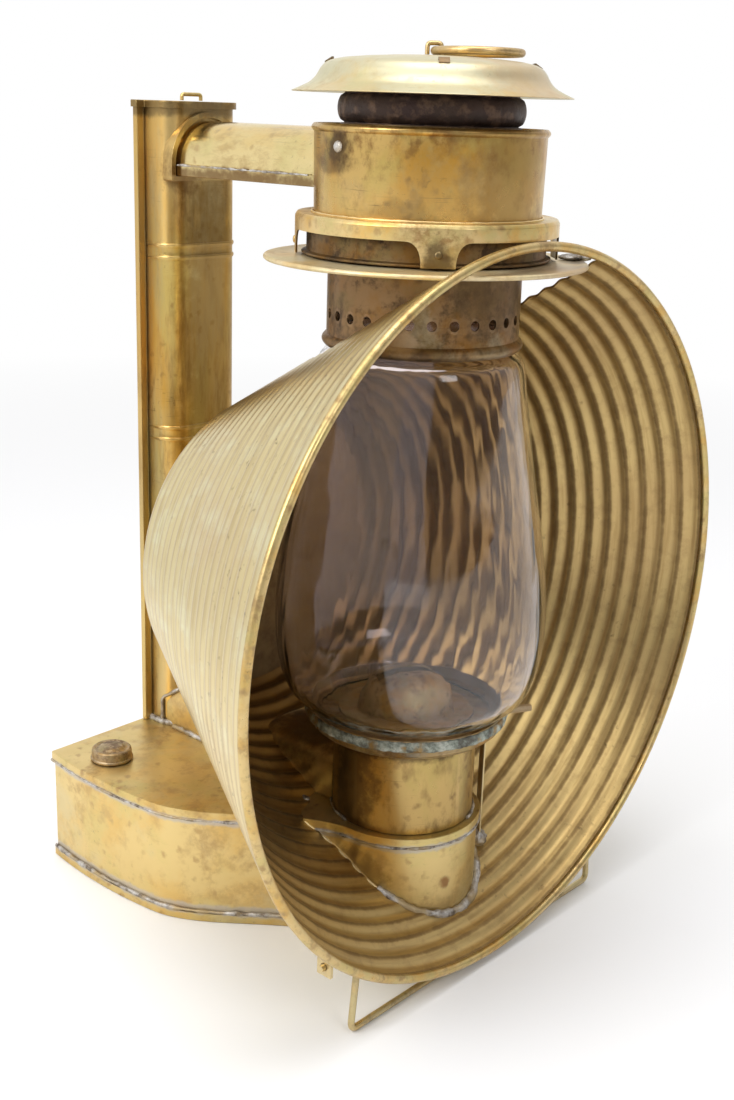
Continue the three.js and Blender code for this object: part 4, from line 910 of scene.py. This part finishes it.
cut_away(reflector, raised("waste_bell", notch, axis_level, notch_top),
    peg(disc_radius + GAP, 289.9, notch_top, sides=96), raised("waste_tank", tank_plan(1.4), -60, 54.3),
    peg(well_radius + GAP, -20, 76.5, sides=64), lengthwise("waste_duct", low_arch(GAP, 40), 0, 98), sharp=30)

cone = new_finish("reflector_brass")
place = cone.place
parts = cone.add("SeparateXYZ", {"Vector": place}).node.outputs
depth = parts["Y"]
inner = cone.vector("ADD", place, (0, 0.15, -axis_level * MM))
inside = cone.vector("DOT_PRODUCT", cone.add("NewGeometry", {}, "Normal"), inner, output="Value")
inside = cone.math("LESS_THAN", inside, 0)
ribs = cone.mask(depth, mouth_y * MM, small_y * MM, 2 * pi * rib_count, clamp=False)
ribs = cone.math("COSINE", ribs)
clouds, fine = cone.noise(place, 16, 6, 0.6), cone.noise(place, 120, 6, 0.7)
turn = cone.math("ARCTAN2", parts["X"], cone.math("ADD", parts["Z"], -axis_level * MM))
flat_back = cone.math("GREATER_THAN", depth, (small_y - 0.3) * MM)


def wound(around, turns, along, pitch):
    """Coordinates around and along the cone."""
    return cone.add("CombineXYZ", {"X": cone.math("MULTIPLY", around, turns),
        "Y": cone.math("MULTIPLY", along, pitch), "Z": 0})


band = cone.add("Mix", {0: flat_back, 4: wound(turn, 1.6, depth, 9),
    5: cone.vector("MULTIPLY", place, (22, 22, 22))}, 1, data_type="VECTOR")
spun = cone.vector("MULTIPLY", cone.vector("ADD", place, (0, 0, -axis_level * MM)), (1, 0, 1))
spun = cone.add("Mix", {0: flat_back, 2: depth, 3: cone.vector("LENGTH", spun, output="Value")})
pink = cone.mask(cone.noise(band, 1.3, 5, 0.6), 0.46, 0.66, 0.4, smooth=True)
pale = cone.mask(cone.noise(band, 2.6, 6, 0.65), 0.5, 0.66, 0.65)
lines = cone.mask(cone.noise(wound(turn, 3, spun, 420), 1, 4, 0.6), 0.48, 0.66, 0.6)
shell = cone.over((0.76, 0.68, 0.4), (0.66, 0.52, 0.26), clouds)
for hue, share in (((0.6, 0.43, 0.27), pink), ((0.8, 0.79, 0.54), pale),
        ((0.42, 0.27, 0.12), cone.mask(ribs, -1, -0.6, 0, 0.4)), ((0.52, 0.4, 0.2), lines)):
    shell = cone.over(shell, hue, share)
groove = cone.mask(cone.math("MULTIPLY_ADD", fine, 0.9, ribs), 1, 1.5, 0.8, smooth=True)
bowl = cone.over((0.66, 0.5, 0.22), (0.46, 0.31, 0.125), clouds)
for hue, share in (((0.42, 0.27, 0.12), pink), ((0.36, 0.24, 0.1), cone.mask(fine, 0.5, 0.7, 0.6)),
        ((0.36, 0.235, 0.09), lines), ((0.23, 0.145, 0.06), groove),
        # painted shade: the bowl's colour grows darker towards the cone's deep back
        ((0.17, 0.105, 0.06), cone.mask(depth, 0.03, 0.1, 0.7, smooth=True))):
    bowl = cone.over(bowl, hue, share)
speck = cone.math("MULTIPLY", cone.mask(cone.noise(place, 340, 4), 0.62, 0.76, 0.7),
    cone.mask(clouds, 0.5, 0.6))
gloss = cone.math("MULTIPLY_ADD", inside, 0.12, cone.math("MULTIPLY_ADD", groove, 0.2, 0.3))
cone.surface(cone.over(cone.over(shell, bowl, inside), (0.1, 0.06, 0.03), speck), gloss, (fine, 0.1, 0.0005), 1)
fit(reflector, cone, "reflector_brass", "reflector")

rim_radius, rim_wire, rim_y = 148, 1.9, -54.6
rim_gold = old_brass("rim_gold", (0.58, 0.43, 0.19), (0.28, 0.17, 0.07), 0.5, 60, spots=1, rubbed=0.3,
    dull=0.15)
rim = turned("rim_wire", arc(rim_radius, rim_y, rim_wire, 0, 330, 11), 192, middle, (0, 1, 0), 40)
fit(rim, rim_gold, "reflector_brass", "reflector_rim")


# Foot: a bent brass wire, hinged in two lugs behind the rim, steadies the lantern in front.
foot_y, foot_wire, foot_corner = -47, 1.4, 3.4
foot_half = [(100.3, 37.77), (93.1, 37.77), (79.6, 25.77), (82.1, foot_wire)]
foot_path = [(-x, foot_y, z) for x, z in foot_half] + [(x, foot_y, z) for x, z in reversed(foot_half)]
fit(wire("foot_bow", foot_path, foot_wire, foot_corner), strap_brass, "tank_brass", "foot_wire", body="foot")
refinish(strap_brass, "foot_lug_left", "foot_lug_right")


# Solder: the seams are closed with lumpy grey beads of soft solder, dark in places. Drops of it tack the strap,
# the disc and the tank, and rivets hold the drum and the four legs.
solder = new_finish("soft_solder")
lead = solder.noise(solder.place, 210, 6, 0.65)
greys = solder.ramp(lead, (0.3, (0.06, 0.05, 0.042)), (0.4, (0.2, 0.16, 0.12)), (0.5, (0.42, 0.39, 0.36)),
    last=(0.66, (0.66, 0.64, 0.61)))
brassy = solder.mask(solder.noise(solder.place, 60, 3), 0.5, 0.62)
solder.surface(solder.over(greys, (0.42, 0.32, 0.18), brassy), 0.5, (lead, 0.6, 0.0006), 0.6)


def spread(points, step=1.6):
    """Adds points along a line so that it can be made uneven."""
    points = [Vector(point) for point in points]
    line = [points[0]]
    for before, after in zip(points, points[1:]):
        count = max(1, round((after - before).length / step))
        line += [before.lerp(after, k / count) for k in range(1, count + 1)]
    return line


def soldered(piece, size, push, finish, slot):
    lumpy(piece, size, push)
    bpy.ops.object.shade_smooth()
    fit(piece, finish, slot)


def bead(name, points, radius, slot, size=3, push=0.9, finish=solder):
    soldered(rounded(draw_line(name, spread(points), False), radius, 2, 80), size, push, finish, slot)


def at_height(points, z):
    return [vec(point[0], point[1], z) for point in points]


def cone_at(x, y):
    """Height of the reflector's sheet over a point of the plan."""
    share = (y - mouth_y) / (small_y - mouth_y)
    radius = mouth_radius + (small_radius - mouth_radius) * share
    return axis_level - sqrt(radius ** 2 - x ** 2)


bead("seam_top_lip", at_height(tank_plan(GAP + SHEET), 49.7), 0.6, "tank_brass", 5, 1.2)
bead("seam_bottom_lip", at_height(tank_plan(0.6), 4.6), 0.9, "tank_brass", 5, 1.6)
column_seam = [(-column_half - 1, flange_face), (-column_half - 1, column_front + column_corner),
    *column_round(1, 240, 6)]
seat, aside, lip_side = 54.9, low_half + 0.7, tray_half + 0.7
for side, label in ((-1, "left"), (1, "right")):
    bead("seam_column_foot_" + label, [(x * -side, y, seat) for x, y in column_seam], 1.5, "column_brass",
        push=1.6)
    bead("seam_duct_foot_" + label, [(side * aside, 130, seat), (side * aside, 37, seat)], 1.2, "tank_brass",
        push=1.5)
    bead("seam_tray_" + label, [(side * lip_side, 47, tray_lip), (side * lip_side, 127, tray_lip)], 0.45,
        "duct_brass")
duct_end = []
for x, z in low_arch(0.7, column_bottom):
    around = min(max(abs(x) - column_half + column_corner, 0), column_corner)
    duct_end.append((x, column_front + column_corner - 0.5 - sqrt(column_corner ** 2 - around ** 2), z))
bead("seam_duct_column", duct_end, 0.9, "tank_brass", push=1.2)
for start, end, label in ((-75, -20, "front"), (110, 170, "back")):
    bead("seam_well_foot_" + label, at_height(arc(0, 0, well_radius + 0.5, start, end, 30), 54.7), 0.6,
        "duct_brass")
duct_drum = [(x, sqrt((drum_radius + 0.3) ** 2 - x * x), z)
    for x, z in arch(duct_half + 0.5, tray_lip, duct_spring)]
bead("seam_duct_drum", duct_drum, 0.7, "duct_brass", push=1)
bead("seam_drum_foot", at_height(arc(0, 0, drum_radius + 0.2, 0, 360, 120), 309.1), 0.45, "duct_brass",
    push=0.6, finish=skirt_brass)
joint = [vec(p.x, p.y, cone_at(p.x, p.y)) for p in spread(at_height(tank_plan(1.2), 0), 1.2) if p.y < 60]
joint = [p for p in joint if p.z < 53.5]
bead("seam_tongue_nose", [p for p in joint if p.y < -14], 1.9, "tank_brass", 4, 2.2)
bead("seam_tongue_left", [p for p in joint if p.x < 0 and p.y >= -15], 0.7, "tank_brass", push=0.3,
    finish=strap_brass)
bead("seam_tongue_right", [p for p in joint if p.x > 0 and p.y >= -15], 1.2, "tank_brass", push=1.8)


def blob(name, place, size, slot, push, finish=solder):
    """A drop of solder or a rivet head, flattened against what it sits on."""
    place = Vector(place)
    bpy.ops.mesh.primitive_ico_sphere_add(subdivisions=4, radius=MM, location=place * MM)
    drop = bpy.context.active_object
    drop.name = drop.data.name = name
    drop.scale = size
    drop.rotation_euler.z = atan2(place.y, place.x)
    bpy.ops.object.transform_apply()
    soldered(drop, 2.2, push, finish, slot)


blob("drum_rivet", drum_rivet, (1.1, 2.2, 2.2), "duct_brass", 0.7)
strap_foot = (strap_radius * cos(spindle_turn), strap_radius * sin(spindle_turn), 30.5)
blob("strap_blob", strap_foot, (4.2, 4.6, 4), "tank_brass", 2.4)
for k, leg in enumerate(arc(0, 0, skirt_radius, -135, 135, 3)):
    blob(f"leg_rivet_{k + 1}", (leg.x, leg.y, 298), (0.7, 1.5, 1.5), "duct_brass", 0.4, skirt_brass)
blob("disc_solder", (48, -38, 293.2), (7, 4, 1.4), "lid_brass", 1.4)
blob("tank_blob", (-31, 33, 54.6), (4.2, 3, 1.4), "tank_brass", 1.8)
